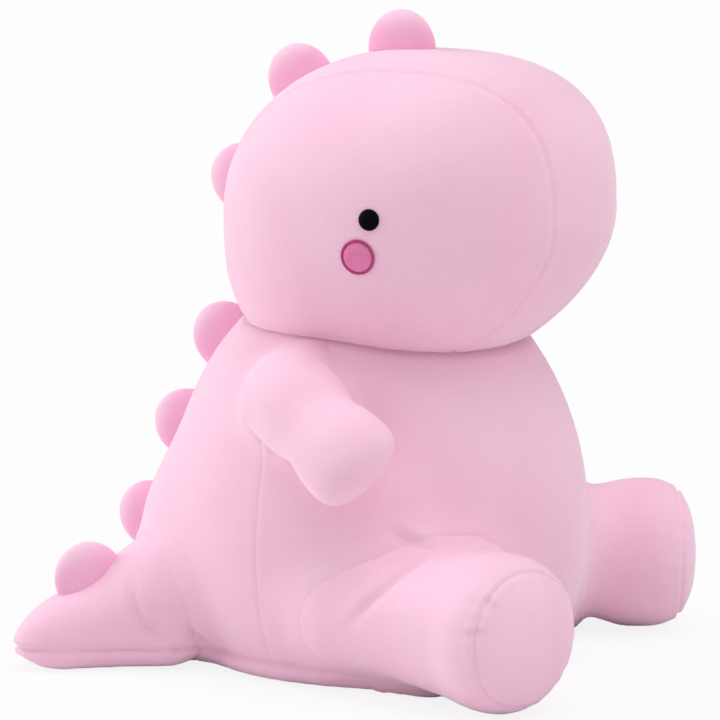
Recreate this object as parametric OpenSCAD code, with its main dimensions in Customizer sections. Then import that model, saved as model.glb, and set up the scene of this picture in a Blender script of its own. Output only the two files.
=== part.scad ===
// Seated stuffed dinosaur: pile fabric panels sewn over stuffing, with a round seam at every limb.
// Millimetres. Up is +Z, the toy faces -Y, and the middle of its flat seat is the origin.

/* [Fabric] */
// Thickness of the pile fabric
fabric_t = 3; // [2.4:0.1:3.4]
// Space between one piece and the next
seam_gap = 0.4; // [0.35:0.05:0.5]
// Thickness of the fabric of the spikes
spike_fabric_t = 2; // [1.6:0.1:2.4]

/* [Torso] */
// Width of the torso at its widest line
torso_w = 326; // [310:1:340]
// Height of the widest line above the floor
torso_mid_z = 100; // [92:1:106]
// Height of the egg shape above the widest line
torso_rise = 208; // [200:1:216]
// Width of the flat seat
seat_w = 248; // [236:1:256]
// Fullness of the lower torso
seat_bulge = 1.8; // [1.6:0.05:2]
// Height at which the round neck begins
neck_join_z = 232; // [226:1:238]
// Radius of the rump bulge above the tail
rump_r = 86; // [82:1:90]
// Distance of the middle of the rump bulge from the torso axis
rump_out = 98; // [94:1:102]
// Direction of the rump bulge, from straight back towards the right side
rump_angle = 20; // [16:1:24]
// Height of the middle of the rump bulge
rump_z = 84; // [80:1:88]
// Half the angle covered by the belly panel
belly_half_angle = 100; // [94:1:106]

/* [Head] */
// Width of the head across the cheeks
head_w = 276; // [262:1:290]
// Length of the head from muzzle to nape
head_l = 296; // [284:1:308]
// Height of the head
head_h = 248; // [240:1:256]
// Distance of the middle of the head in front of the torso axis
head_fwd = 35; // [30:1:40]
// Height of the middle of the head above the top of the neck
head_lift = 43; // [38:1:48]
// Roundness of the brow, a higher value being squarer
brow_power = 2.8; // [2.4:0.1:3.2]
// Roundness of the chin
chin_power = 1.7; // [1.6:0.05:2]
// Roundness of the crown
crown_power = 2.1; // [1.9:0.1:2.4]
// Roundness of the nape
nape_power = 3; // [2.6:0.1:3.2]
// Roundness of the cheeks
cheek_power = 2.2; // [2:0.1:2.4]
// Width of the gusset between the side panels
gusset_w = 130; // [116:1:142]

/* [Face] */
// Diameter of the eye
eye_d = 16; // [12:0.5:20]
// Height of the eye dome
eye_dome = 4; // [3:0.1:5]
// Diameter of the eye stem
eye_stem_d = 5; // [4:0.1:6]
// Length of the eye stem
eye_stem_l = 14; // [12:0.5:18]
// Diameter of the locking washer
washer_d = 20; // [16:0.5:24]
// Thickness of the locking washer
washer_t = 2; // [1.5:0.1:2.5]
// Distance of the eye in front of the middle of the head
eye_fwd = 18; // [10:1:26]
// Height of the eye above the middle of the head
eye_up = 11; // [5:1:17]
// Diameter of the padded cheek
cheek_d = 25; // [20:0.5:28]
// Height of the padded cheek
cheek_dome = 4; // [3:0.1:5]
// Distance of the cheek in front of the middle of the head
cheek_fwd = 9; // [2:1:16]
// Distance of the cheek below the eye
cheek_drop = 28; // [25:1:33]

/* [Spikes] */
// Width of a spike along the back
spike_w = 55; // [48:1:60]
// Height of a spike
spike_h = 30; // [26:1:34]
// Thickness of a spike
spike_t = 22; // [18:1:26]
// Direction of the front head spike, from the muzzle over the top
spike_front_angle = 97; // [93:1:101]
// Direction of the crown spike
spike_crown_angle = 136; // [132:1:140]
// Direction of the rear head spike
spike_rear_angle = 173; // [169:1:177]
// Drop of the nape spike below the top of the neck
spike_nape_drop = 63; // [60:1:67]
// Drop of the middle back spike below the top of the neck
spike_back_drop = 133; // [129:1:137]
// Rise of the rump spike above the middle of the rump bulge
spike_rump_angle = 8; // [3:1:13]
// Direction of the spike seam, from straight back towards the right side
ridge_angle = 6; // [3:1:10]

/* [Arms] */
// Drop of the middle of the shoulder seam below the top of the neck
arm_drop = 83; // [77:1:89]
// Direction of the shoulder, from the front
arm_angle = 95; // [91:1:99]
// Length of the arm along its middle
arm_l = 116; // [108:1:122]
// Radius of the arm at the shoulder
arm_root_r = 37; // [33:0.5:39]
// Radius of the hand
arm_hand_r = 36; // [32:0.5:38]
// Depth of the pinch at the wrist
arm_pinch = 4; // [2:0.5:6]
// Thickness of the hand as a share of its width
hand_flat = 0.76; // [0.7:0.02:0.84]
// Length of the rounded end of the hand
arm_cap = 30; // [24:1:36]
// Turn of the arm away from the shoulder at its root
arm_turn_root = 56; // [52:1:60]
// Turn of the arm away from the shoulder at the hand
arm_turn_hand = 110; // [104:1:114]
// Droop of the arm below the horizontal
arm_droop = 34; // [26:1:42]
// How much lower the left arm hangs than the right one
arm_left_lower = 14; // [8:1:15]

/* [Legs] */
// Radius of the round top of the leg
hip_r = 55; // [50:0.5:58]
// Direction of the hip, from the front
hip_angle = 52; // [48:1:56]
// Depth of the middle of the hip inside the torso
hip_sink = 7; // [2:1:10]
// Turn of the leg outwards
leg_splay = 25; // [20:1:30]
// Radius of the foot
foot_r = 59; // [57:0.5:62]
// Distance of the widest part of the foot from the hip
foot_reach = 76; // [70:1:82]
// Length of the rounded end of the foot
foot_cap = 42; // [36:1:48]
// Radius of the seam round the sole
sole_r = 50; // [46:0.5:52]

/* [Tail] */
// Radius of the round root of the tail
tail_root_r = 46; // [43:0.5:48]
// Radius of the tail near its tip
tail_tip_r = 20; // [18:0.5:23]
// Direction of the tail root, from straight back towards the right side
tail_angle = 38; // [34:1:42]
// Distance of the tail root outside the torso
tail_out = 15; // [12:1:18]
// Turn of the tail at its root
tail_turn_root = 34; // [30:1:38]
// Turn of the tail at its tip
tail_turn_tip = 48; // [44:1:54]
// Length of the tail from its root to its tip
tail_l = 116; // [110:1:122]
// Length of the rounded end of the tail
tail_cap = 34; // [28:1:40]
// Height of the seam along the under panel
tail_seam_z = 17; // [13:0.5:20]
// Place of the spike along the tail
tail_spike_at = 56; // [50:1:60]

/* [Hidden] */
$fn = 64;
fill_gap = 0.6;
floor_gap = 0.3;
degree = 180 / PI;

torso_r = torso_w / 2;
seat_r = seat_w / 2;

// Egg shape of the torso, carried on above the join by the round neck
join_level = (neck_join_z - torso_mid_z) / torso_rise;
join_r = torso_r * sqrt(1 - join_level * join_level);
join_slope = torso_r * torso_r * join_level / (torso_rise * join_r);
neck_z = neck_join_z - join_r * join_slope;
neck_r = sqrt(join_r * join_r + pow(neck_join_z - neck_z, 2));
neck_top_z = neck_z + neck_r;
neck_hole_r = 36;
neck_hole_z = neck_z + sqrt(neck_r * neck_r - neck_hole_r * neck_hole_r);

function torso_radius(z) =
    z > neck_join_z ? sqrt(max(0, neck_r * neck_r - pow(z - neck_z, 2)))
    : z > torso_mid_z ? torso_r * sqrt(1 - pow((z - torso_mid_z) / torso_rise, 2))
    : seat_r + (torso_r - seat_r)
        * pow(max(0, 1 - pow((torso_mid_z - z) / torso_mid_z, seat_bulge)), 1 / seat_bulge);

function torso_slope(z) = torso_radius(z + 0.5) - torso_radius(z - 0.5);

// Outward direction of the torso at a height and an angle from the front, towards the right side
function torso_normal(z, angle) =
    let (slope = torso_slope(z), long = sqrt(1 + slope * slope))
    [-sin(angle) / long, -cos(angle) / long, -slope / long];

function torso_point(z, angle, off) =
    let (r = torso_radius(z))
    [-r * sin(angle), -r * cos(angle), z] + off * torso_normal(z, angle);

// Steps up the torso from a height to the neck hole, then along the neck
torso_rows = 26;
function torso_path(low) =
    let (dome_rows = 12,
         join_polar = atan2(join_r, neck_join_z - neck_z),
         hole_polar = asin(neck_hole_r / neck_r))
    concat(
        [for (i = [0 : torso_rows - 1])
            let (z = low + (neck_join_z - low) * i / torso_rows) [torso_radius(z), z]],
        [for (i = [0 : dome_rows])
            let (polar = join_polar + (hole_polar - join_polar) * i / dome_rows)
            [neck_r * sin(polar), neck_z + neck_r * cos(polar)]]);

// A path moved sideways by a distance, to the left of its direction
function inset_path(path, distance) =
    let (last = len(path) - 1)
    [for (i = [0 : last])
        let (step = path[min(last, i + 1)] - path[max(0, i - 1)],
             along = step / norm(step))
        path[i] + distance * [-along[1], along[0]]];

function reversed(list) = [for (i = [len(list) - 1 : -1 : 0]) list[i]];

// Side outline of the head by direction, from the muzzle over the top
function head_power(angle) =
    sin(angle) >= 0 ? (cos(angle) >= 0 ? brow_power : crown_power)
    : (cos(angle) >= 0 ? chin_power : nape_power);

function head_reach(angle) =
    let (p = head_power(angle))
    pow(pow(abs(cos(angle)) * 2 / head_l, p) + pow(abs(sin(angle)) * 2 / head_h, p), -1 / p);

head_mid = [0, -head_fwd, neck_top_z + head_lift];

// Point of the head by direction and by lift from the middle plane towards one side
function head_point(angle, side, inset) =
    let (fold = pow(cos(side), 2 / cheek_power),
         reach = (head_reach(angle) - inset) * fold)
    head_mid + [sign(side) * (head_w / 2 - inset) * pow(abs(sin(side)), 2 / cheek_power),
                -reach * cos(angle), reach * sin(angle)];

function head_side_angle(x) = asin(pow(2 * x / head_w, cheek_power / 2));

// Point of the right cheek at a distance in front of the middle and above it
function cheek_point(fwd, up) =
    let (angle = atan2(up, fwd),
         share = norm([fwd, up]) / head_reach(angle))
    head_mid + [-head_w / 2 * pow(1 - pow(share, cheek_power), 1 / cheek_power), -fwd, up];

function cheek_normal(fwd, up) =
    let (step = 1,
         across = cheek_point(fwd + step, up) - cheek_point(fwd - step, up),
         rise = cheek_point(fwd, up + step) - cheek_point(fwd, up - step),
         out = cross(rise, across))
    out / norm(out) * (out[0] < 0 ? 1 : -1);

eye_point = cheek_point(eye_fwd, eye_up);
eye_normal = cheek_normal(eye_fwd, eye_up);
cheek_up = eye_up - cheek_drop;
blush_point = cheek_point(cheek_fwd, cheek_up);
blush_normal = cheek_normal(cheek_fwd, cheek_up);

// Point on the middle line of the head and its outward direction
function ridge_point(angle) = head_point(angle, 0, 0);
function ridge_normal(angle) =
    let (step = ridge_point(angle + 1) - ridge_point(angle - 1))
    [0, -step[2], step[1]] / norm(step);

// Arm: a bent tube standing on the torso at the shoulder seam
arm_z = neck_top_z - arm_drop;
shoulder_normal = torso_normal(arm_z, arm_angle);
shoulder = torso_point(arm_z, arm_angle, seam_gap);
shoulder_fwd = [cos(arm_angle), -sin(arm_angle), 0];
shoulder_up = cross(shoulder_normal, shoulder_fwd) * -1;
arm_lean = cos(arm_droop) * shoulder_fwd - sin(arm_droop) * shoulder_up * sign(shoulder_up[2]);
arm_side = cross(shoulder_normal, arm_lean);
arm_bend_r = arm_l / ((arm_turn_hand - arm_turn_root) / degree);
arm_settle = 70;
arm_cap_power = 2.4;
wrist_at = arm_l * 0.48;
wrist_span = 16;

function arm_turn(s) = arm_turn_root + (arm_turn_hand - arm_turn_root) * s / arm_l;
function arm_centre(s) =
    shoulder
    + arm_bend_r * (sin(arm_turn(s)) - sin(arm_turn_root)) * shoulder_normal
    + arm_bend_r * (cos(arm_turn_root) - cos(arm_turn(s))) * arm_lean;
function arm_radius(s, inset) =
    let (end = arm_l - inset,
         into_cap = max(0, s - (arm_l - arm_cap)) / (end - (arm_l - arm_cap)),
         pinch = arm_pinch * exp(-pow((s - wrist_at) / wrist_span, 2)),
         full = arm_root_r + (arm_hand_r - arm_root_r) * s / arm_l - pinch - inset)
    full * sqrt(max(0, 1 - pow(into_cap, arm_cap_power)));
arm_points = 28;
function arm_ring(s, inset) =
    let (settled = min(1, s / arm_settle),
         tilt = arm_turn(s) * settled,
         flat = 1 - (1 - hand_flat) * settled,
         across = flat * (cos(tilt) * arm_lean - sin(tilt) * shoulder_normal),
         r = arm_radius(s, inset))
    [for (i = [0 : arm_points - 1])
        let (turn = 360 * i / arm_points)
        arm_centre(s) + r * (cos(turn) * across + sin(turn) * arm_side)];
function arm_steps(inset) =
    concat([for (i = [0 : 9]) (arm_l - arm_cap) * i / 9],
           [for (f = [0.3, 0.55, 0.75, 0.9, 0.97]) arm_l - arm_cap + (arm_cap - inset) * f]);

// Leg: a round hip and a fuller foot turned about one level axis
leg_z = foot_r + floor_gap;
leg_l = foot_reach + foot_cap;
hip_out = torso_radius(leg_z) - hip_sink;
hip = [-hip_out * sin(hip_angle), -hip_out * cos(hip_angle), leg_z];
hip_blend = 20;
hip_blend_r = sqrt(hip_r * hip_r - hip_blend * hip_blend);
sole_power = 2.6;
function sole_at(r) = foot_reach + foot_cap * pow(1 - pow(r / foot_r, sole_power), 1 / sole_power);

function leg_radius(s) =
    s <= hip_blend ? sqrt(max(0, hip_r * hip_r - s * s))
    : s >= foot_reach
        ? foot_r * pow(max(0, 1 - pow((s - foot_reach) / foot_cap, sole_power)), 1 / sole_power)
    : let (span = foot_reach - hip_blend, f = (s - hip_blend) / span)
        hip_blend_r * (1 + 2 * f) * pow(1 - f, 2) + foot_r * f * f * (3 - 2 * f)
        - span * hip_blend / hip_blend_r * f * pow(1 - f, 2);

// Outline of the leg between two places along it
function leg_path(from, to, rows) =
    [for (i = [0 : rows]) let (s = from + (to - from) * i / rows) [leg_radius(s), s]];
leg_rows = 34;
leg_open = -hip_r * 0.86;
sole_seam = sole_at(sole_r);
function sole_path(from) =
    let (rows = 9)
    concat([for (i = [0 : rows - 1])
               let (r = leg_radius(from) * (1 - i / rows)) [r, sole_at(r)]],
           [[0, leg_l]]);

// Tail: a bent tube lying on the floor, with a round root
tail_root_z = tail_root_r + floor_gap;
tail_root_out = torso_radius(tail_root_z) + tail_out;
tail_root = [-tail_root_out * sin(tail_angle), tail_root_out * cos(tail_angle), tail_root_z];
tail_blend = 24;
tail_blend_r = sqrt(tail_root_r * tail_root_r - tail_blend * tail_blend);
tail_cap_power = 2.2;
tail_bend_r = tail_l / ((tail_turn_tip - tail_turn_root) / degree);

function tail_turn(s) = tail_turn_root + (tail_turn_tip - tail_turn_root) * max(0, s) / tail_l;
function tail_full(s) =
    s <= tail_blend ? sqrt(max(0, tail_root_r * tail_root_r - s * s))
    : let (span = tail_l - tail_blend, f = (s - tail_blend) / span)
        tail_blend_r + (tail_tip_r - tail_blend_r) * f;
function tail_radius(s, inset) =
    let (start = tail_l - tail_cap,
         into_cap = max(0, s - start) / (tail_cap - inset))
    max(0, s <= 0 ? sqrt(max(0, pow(tail_root_r - inset, 2) - s * s))
        : (tail_full(s) - inset) * sqrt(max(0, 1 - pow(into_cap, tail_cap_power))));
function tail_centre(s) =
    let (turn = tail_turn(s))
    [tail_root[0] + tail_bend_r * (cos(turn) - cos(tail_turn_root)) + min(0, s) * -sin(tail_turn_root),
     tail_root[1] + tail_bend_r * (sin(turn) - sin(tail_turn_root)) + min(0, s) * cos(tail_turn_root),
     s <= 0 ? tail_root[2] : tail_full(s) + floor_gap];
tail_points = 32;
function tail_ring(s, inset) =
    let (r = tail_radius(s, inset), across = [cos(tail_turn(s)), sin(tail_turn(s)), 0])
    [for (i = [0 : tail_points - 1])
        let (turn = 360 * i / tail_points)
        tail_centre(s) + r * (cos(turn) * across + sin(turn) * [0, 0, 1])];
function tail_steps(low, inset) =
    let (start = tail_l - tail_cap)
    concat([for (i = [0 : 4]) low * (1 - i / 4)],
           [for (i = [1 : 9]) start * i / 9],
           [for (f = [0.3, 0.55, 0.75, 0.9, 0.97]) start + (tail_cap - inset) * f]);
tail_open = -tail_root_r * 0.8;

// Solid through a list of rings, closed by a point at each end
module loft(rings, first_tip, last_tip) {
    n = len(rings[0]);
    m = len(rings);
    points = concat([for (r = rings) each r], [first_tip, last_tip]);
    sides = [for (j = [0 : m - 2]) for (i = [0 : n - 1])
        let (a = j * n + i, b = j * n + (i + 1) % n)
        each [[a, b, b + n], [a, b + n, a + n]]];
    first = [for (i = [0 : n - 1]) [m * n, (i + 1) % n, i]];
    last = [for (i = [0 : n - 1]) [m * n + 1, (m - 1) * n + i, (m - 1) * n + (i + 1) % n]];
    polyhedron(points, concat(sides, first, last));
}

// Solid through a list of rings that runs back into its first ring
module loop_loft(rings) {
    n = len(rings[0]);
    m = len(rings);
    polyhedron([for (r = rings) each r],
        [for (j = [0 : m - 1]) for (i = [0 : n - 1])
            let (k = (j + 1) % m,
                 a = j * n + i, b = j * n + (i + 1) % n,
                 c = k * n + (i + 1) % n, d = k * n + i)
            each [[a, b, c], [a, c, d]]]);
}

// Children stood on a point with their +Z along a direction
module stand(point, normal) {
    translate(point)
        rotate([0, acos(normal[2] / norm(normal)), atan2(normal[1], normal[0])])
        children();
}

pink = [0.95, 0.78, 0.86];
deep_pink = [0.97, 0.68, 0.83];
blush = [0.87, 0.51, 0.68];
stuffing = [0.96, 0.96, 0.94];
black = [0.04, 0.04, 0.05];
clear_plastic = [0.85, 0.85, 0.86];

head_points = 48;
gusset_side = head_side_angle(gusset_w / 2);
cap_side = head_side_angle(gusset_w / 2 + seam_gap);
pole_side = 86;

function head_ring(side, inset) =
    [for (i = [0 : head_points - 1]) head_point(360 * i / head_points, side, inset)];

module neck_ball() {
    translate([0, 0, neck_z]) sphere(neck_r + seam_gap, $fn = 128);
}

// Side panel of the head on the right
module head_cap() {
    rows = 8;
    sides = [for (i = [0 : rows]) pole_side + (cap_side - pole_side) * i / rows];
    difference() {
        loft(concat([for (side = sides) head_ring(-side, 0)],
                    [for (side = reversed(sides)) head_ring(-side, fabric_t)]),
             head_mid - [head_w / 2, 0, 0],
             head_mid - [head_w / 2 - fabric_t, 0, 0]);
        neck_ball();
        stand(eye_point, eye_normal)
            cylinder(r = eye_stem_d / 2 + seam_gap, h = 6 * fabric_t, center = true);
    }
}

module head_side_right() { color(pink) head_cap(); }
module head_side_left() { color(pink) mirror([1, 0, 0]) head_cap(); }

// Band from chin over muzzle and top to nape
module head_gusset() {
    rows = 6;
    sides = [for (i = [0 : rows]) -gusset_side + 2 * gusset_side * i / rows];
    color(pink) difference() {
        loop_loft([for (i = [0 : head_points - 1])
            let (angle = 360 * i / head_points)
            concat([for (side = sides) head_point(angle, side, 0)],
                   [for (side = reversed(sides)) head_point(angle, side, fabric_t)])]);
        neck_ball();
    }
}

module head_filling() {
    rows = 18;
    inset = fabric_t + fill_gap;
    color(stuffing) difference() {
        loft([for (i = [0 : rows]) head_ring(-pole_side + 2 * pole_side * i / rows, inset)],
             head_mid - [head_w / 2 - inset, 0, 0],
             head_mid + [head_w / 2 - inset, 0, 0]);
        neck_ball();
        for (side = [0, 1]) mirror([side, 0, 0]) stand(eye_point, eye_normal) {
            translate([0, 0, -eye_stem_l - 2])
                cylinder(r = eye_stem_d / 2 + 1, h = eye_stem_l + 2);
            translate([0, 0, -fabric_t - washer_t - 3])
                cylinder(r = washer_d / 2 + 1, h = washer_t + 6);
        }
    }
}

// Low dome standing on its flat base
module pad(d, h) {
    steps = 10;
    rotate_extrude() polygon(concat([[0, 0]],
        [for (i = [0 : steps]) [d / 2 * cos(90 * i / steps), h * sin(90 * i / steps)]]));
}

module safety_eye() {
    stand(eye_point + seam_gap * eye_normal, eye_normal) {
        pad(eye_d, eye_dome);
        translate([0, 0, -eye_stem_l]) cylinder(d = eye_stem_d, h = eye_stem_l + 1);
    }
}

module eye_right() { color(black) safety_eye(); }
module eye_left() { color(black) mirror([1, 0, 0]) safety_eye(); }

module lock_washer() {
    stand(eye_point, eye_normal)
        translate([0, 0, -fabric_t - washer_t - 0.8]) difference() {
            cylinder(d = washer_d, h = washer_t);
            translate([0, 0, -1]) cylinder(r = eye_stem_d / 2 + 0.1, h = washer_t + 2);
        }
}

module eye_washer_right() { color(clear_plastic) lock_washer(); }
module eye_washer_left() { color(clear_plastic) mirror([1, 0, 0]) lock_washer(); }

module cheek_pad() {
    stand(blush_point + seam_gap * blush_normal, blush_normal) pad(cheek_d, cheek_dome);
}

module cheek_right() { color(blush) cheek_pad(); }
module cheek_left() { color(blush) mirror([1, 0, 0]) cheek_pad(); }

// Round spike cut off by its base, lying in the middle plane
spike_nape_z = neck_top_z - spike_nape_drop;
spike_back_z = neck_top_z - spike_back_drop;
spike_fullness = 0.75;
module spike_lens(inset) {
    steps = 10;
    r = spike_w / 2 - inset;
    t = spike_t / 2 - inset;
    rotate([90, 0, 0]) rotate_extrude() polygon(concat(
        [for (i = [0 : steps]) let (f = i / steps) [r * f, -t * pow(1 - f * f, spike_fullness)]],
        [for (i = [steps - 1 : -1 : 0]) let (f = i / steps) [r * f, t * pow(1 - f * f, spike_fullness)]]));
}

module half_lens(inset) {
    difference() {
        translate([0, 0, spike_h - spike_w / 2]) spike_lens(inset);
        translate([-spike_w, -spike_w, -2 * spike_w]) cube(2 * spike_w);
    }
}

module spike_cover() {
    difference() {
        half_lens(0);
        translate([0, 0, spike_h - spike_w / 2]) spike_lens(spike_fabric_t);
    }
}

module spike_core() { half_lens(spike_fabric_t + fill_gap / 2); }

module on_head(angle) {
    stand(ridge_point(angle) + seam_gap * ridge_normal(angle), ridge_normal(angle)) children();
}
module on_back(z) {
    stand(torso_point(z, 180 - ridge_angle, seam_gap), torso_normal(z, 180 - ridge_angle)) children();
}
tail_top = tail_centre(tail_spike_at) + [0, 0, tail_full(tail_spike_at)];
tail_fall = atan((tail_blend_r - tail_tip_r) * 2 / (tail_l - tail_blend));
module on_tail() {
    turn = tail_turn(tail_spike_at);
    translate(tail_top) rotate([0, 0, turn + 90]) rotate([0, tail_fall, 0])
        translate([0, 0, seam_gap]) children();
}

module head_spike_front() { color(deep_pink) on_head(spike_front_angle) spike_cover(); }
module head_spike_crown() { color(deep_pink) on_head(spike_crown_angle) spike_cover(); }
module head_spike_rear() { color(deep_pink) on_head(spike_rear_angle) spike_cover(); }
module head_spike_filling() {
    color(stuffing) for (angle = [spike_front_angle, spike_crown_angle, spike_rear_angle])
        on_head(angle) spike_core();
}
module back_spike_nape() { color(deep_pink) on_back(spike_nape_z) spike_cover(); }
module back_spike_middle() { color(deep_pink) on_back(spike_back_z) spike_cover(); }
rump_mid = [-rump_out * sin(rump_angle), rump_out * cos(rump_angle), rump_z];
rump_normal = [0, cos(spike_rump_angle), sin(spike_rump_angle)];
rump_spike = rump_mid + rump_r * rump_normal;
module on_rump() {
    stand(rump_spike + seam_gap * rump_normal, rump_normal) children();
}
module back_spike_rump() { color(deep_pink) on_rump() spike_cover(); }
module back_spike_filling() {
    color(stuffing) {
        for (z = [spike_nape_z, spike_back_z]) on_back(z) spike_core();
        on_rump() spike_core();
    }
}
module tail_spike() { color(deep_pink) on_tail() spike_cover(); }
module tail_spike_filling() { color(stuffing) on_tail() spike_core(); }

// Room in the torso for the round roots of the legs and the tail
module root_pockets() {
    for (side = [0, 1]) mirror([side, 0, 0]) translate(hip) sphere(hip_r + seam_gap, $fn = 96);
    translate(tail_root) sphere(tail_root_r + seam_gap, $fn = 96);
}

// Torso fabric between two angles from the front, counted towards the left side
panel_low = fabric_t + seam_gap;
panel_seam = seam_gap / neck_join_z * degree;
torso_outer = torso_path(panel_low);
module torso_wedge(from, to) {
    rotate_extrude(angle = to - from - 2 * panel_seam, start = from + panel_seam - 90, $fn = 96)
        polygon(concat(torso_outer, reversed(inset_path(torso_outer, fabric_t))));
}

// Solid torso inside its fabric, from a height upwards
module torso_core(inset, low) {
    outer = inset_path(torso_outer, inset);
    top = outer[len(outer) - 1][1];
    rotate_extrude($fn = 96) polygon(concat([[0, low], [outer[0][0], low]], outer, [[0, top]]));
}

module rump_ball(inset) {
    difference() {
        translate(rump_mid) sphere(rump_r - inset, $fn = 96);
        translate([rump_mid[0] - rump_r * 2, rump_mid[1] - rump_r * 2, panel_low + inset - rump_r * 4])
            cube(rump_r * 4);
    }
}

// Room in front of the hips for the legs to lift and drop
leg_room_from = 10;
leg_room_to = 64;
leg_room_step = 1.5;
leg_room_flare = 10;
module leg_room() {
    for (side = [0, 1]) mirror([side, 0, 0]) along_leg() translate([0, 0, leg_room_from])
        cylinder(r1 = hip_r - leg_room_step, r2 = foot_r + leg_room_flare,
                 h = leg_room_to - leg_room_from, $fn = 96);
}

module body_front() {
    color(pink) difference() {
        torso_wedge(-belly_half_angle, belly_half_angle);
        root_pockets();
        leg_room();
    }
}

// Back panel between two angles, with the rump bulge on its side of the spike seam
collar_r = neck_hole_r - 6;
overrun = 4;
module back_panel(from, to, other_side) {
    difference() {
        union() {
            rotate_extrude(angle = to - from, start = from - 90, $fn = 96)
                polygon(concat(torso_outer, [[collar_r, neck_hole_z], [collar_r, panel_low]]));
            rump_ball(0);
        }
        torso_core(fabric_t, 0);
        rump_ball(fabric_t);
        rotate([0, 0, ridge_angle])
            translate([other_side > 0 ? -seam_gap / 2 : seam_gap / 2 - 2 * torso_w, -2 * torso_w, -torso_w])
            cube([2 * torso_w, 4 * torso_w, 3 * torso_w]);
        root_pockets();
    }
}
spike_seam = 180 + ridge_angle;
module body_back_left() { color(pink) back_panel(belly_half_angle + panel_seam, spike_seam + overrun, -1); }
module body_back_right() { color(pink) back_panel(spike_seam - overrun, 360 - belly_half_angle - panel_seam, 1); }
module base_panel() { color(pink) cylinder(r = seat_r, h = fabric_t, $fn = 96); }

module body_filling() {
    color(stuffing) difference() {
        union() {
            torso_core(fabric_t + fill_gap, panel_low);
            rump_ball(fabric_t + fill_gap);
        }
        root_pockets();
        leg_room();
    }
}

module arm_skin() {
    outer = arm_steps(0);
    inner = arm_steps(fabric_t);
    loft(concat([for (s = reversed(outer)) arm_ring(s, 0)], [for (s = inner) arm_ring(s, fabric_t)]),
         arm_centre(arm_l), arm_centre(arm_l - fabric_t));
}
module arm_core() {
    inset = fabric_t + 2 * fill_gap;
    loft([for (s = reversed(arm_steps(inset))) arm_ring(s, inset)],
         arm_centre(arm_l - inset), arm_centre(0));
}
module lowered() {
    translate(shoulder) rotate(-arm_left_lower, shoulder_normal) translate(-shoulder) children();
}
module arm_right_cover() { color(pink) arm_skin(); }
module arm_left_cover() { color(pink) mirror([1, 0, 0]) lowered() arm_skin(); }
module arm_right_filling() { color(stuffing) arm_core(); }
module arm_left_filling() { color(stuffing) mirror([1, 0, 0]) lowered() arm_core(); }

// Leg pieces are turned about the leg axis and laid along it
module along_leg() {
    translate(hip) rotate([90, 0, -leg_splay]) children();
}
module leg_skin() {
    outer = leg_path(leg_open, sole_seam - seam_gap, leg_rows);
    along_leg() rotate_extrude($fn = 72)
        polygon(concat(outer, reversed(inset_path(outer, fabric_t))));
}
module leg_core() {
    outer = inset_path(concat(leg_path(leg_open, sole_seam, leg_rows), sole_path(sole_seam)),
                       fabric_t + fill_gap);
    along_leg() rotate_extrude($fn = 72) polygon(concat([[0, outer[0][1]]],
        [for (p = outer) [max(0, p[0]), p[1]]]));
}
module sole_dish() {
    outer = sole_path(sole_seam);
    inner = inset_path(outer, fabric_t);
    last = len(outer) - 1;
    along_leg() rotate_extrude($fn = 72) polygon(concat(outer, [[0, inner[last][1]]],
        [for (i = [last - 1 : -1 : 0]) inner[i]]));
}
module leg_right_cover() { color(pink) leg_skin(); }
module leg_left_cover() { color(pink) mirror([1, 0, 0]) leg_skin(); }
module leg_right_sole() { color(pink) sole_dish(); }
module leg_left_sole() { color(pink) mirror([1, 0, 0]) sole_dish(); }
module leg_right_filling() { color(stuffing) leg_core(); }
module leg_left_filling() { color(stuffing) mirror([1, 0, 0]) leg_core(); }

module tail_skin() {
    outer = tail_steps(tail_open, 0);
    inner = tail_steps(tail_open, fabric_t);
    loft(concat([for (s = reversed(outer)) tail_ring(s, 0)],
                [for (s = inner) tail_ring(s, fabric_t)]),
         tail_centre(tail_l), tail_centre(tail_l - fabric_t));
}
tail_span = 4 * (tail_l + tail_root_r);
module tail_cover() {
    color(pink) difference() {
        tail_skin();
        translate([-tail_span / 2, -tail_span / 2, tail_seam_z + seam_gap / 2 - tail_span])
            translate(tail_root - [0, 0, tail_root[2]]) cube(tail_span);
    }
}
module tail_base() {
    color(pink) difference() {
        tail_skin();
        translate([-tail_span / 2, -tail_span / 2, tail_seam_z - seam_gap / 2])
            translate(tail_root - [0, 0, tail_root[2]]) cube(tail_span);
    }
}
module tail_filling() {
    inset = fabric_t + fill_gap;
    color(stuffing) loft([for (s = reversed(tail_steps(tail_open, inset))) tail_ring(s, inset)],
        tail_centre(tail_l - inset), tail_centre(tail_open));
}

// Sub-part drawn, or all of them

body_front();
body_back_left();
body_back_right();
base_panel();
body_filling();
back_spike_nape();
back_spike_middle();
back_spike_rump();
back_spike_filling();
head_side_left();
head_side_right();
head_gusset();
head_filling();
eye_left();
eye_right();
eye_washer_left();
eye_washer_right();
cheek_left();
cheek_right();
head_spike_front();
head_spike_crown();
head_spike_rear();
head_spike_filling();
arm_left_cover();
arm_left_filling();
arm_right_cover();
arm_right_filling();
leg_left_cover();
leg_left_sole();
leg_left_filling();
leg_right_cover();
leg_right_sole();
leg_right_filling();
tail_cover();
tail_base();
tail_filling();
tail_spike();
tail_spike_filling();
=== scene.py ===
import math

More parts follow.
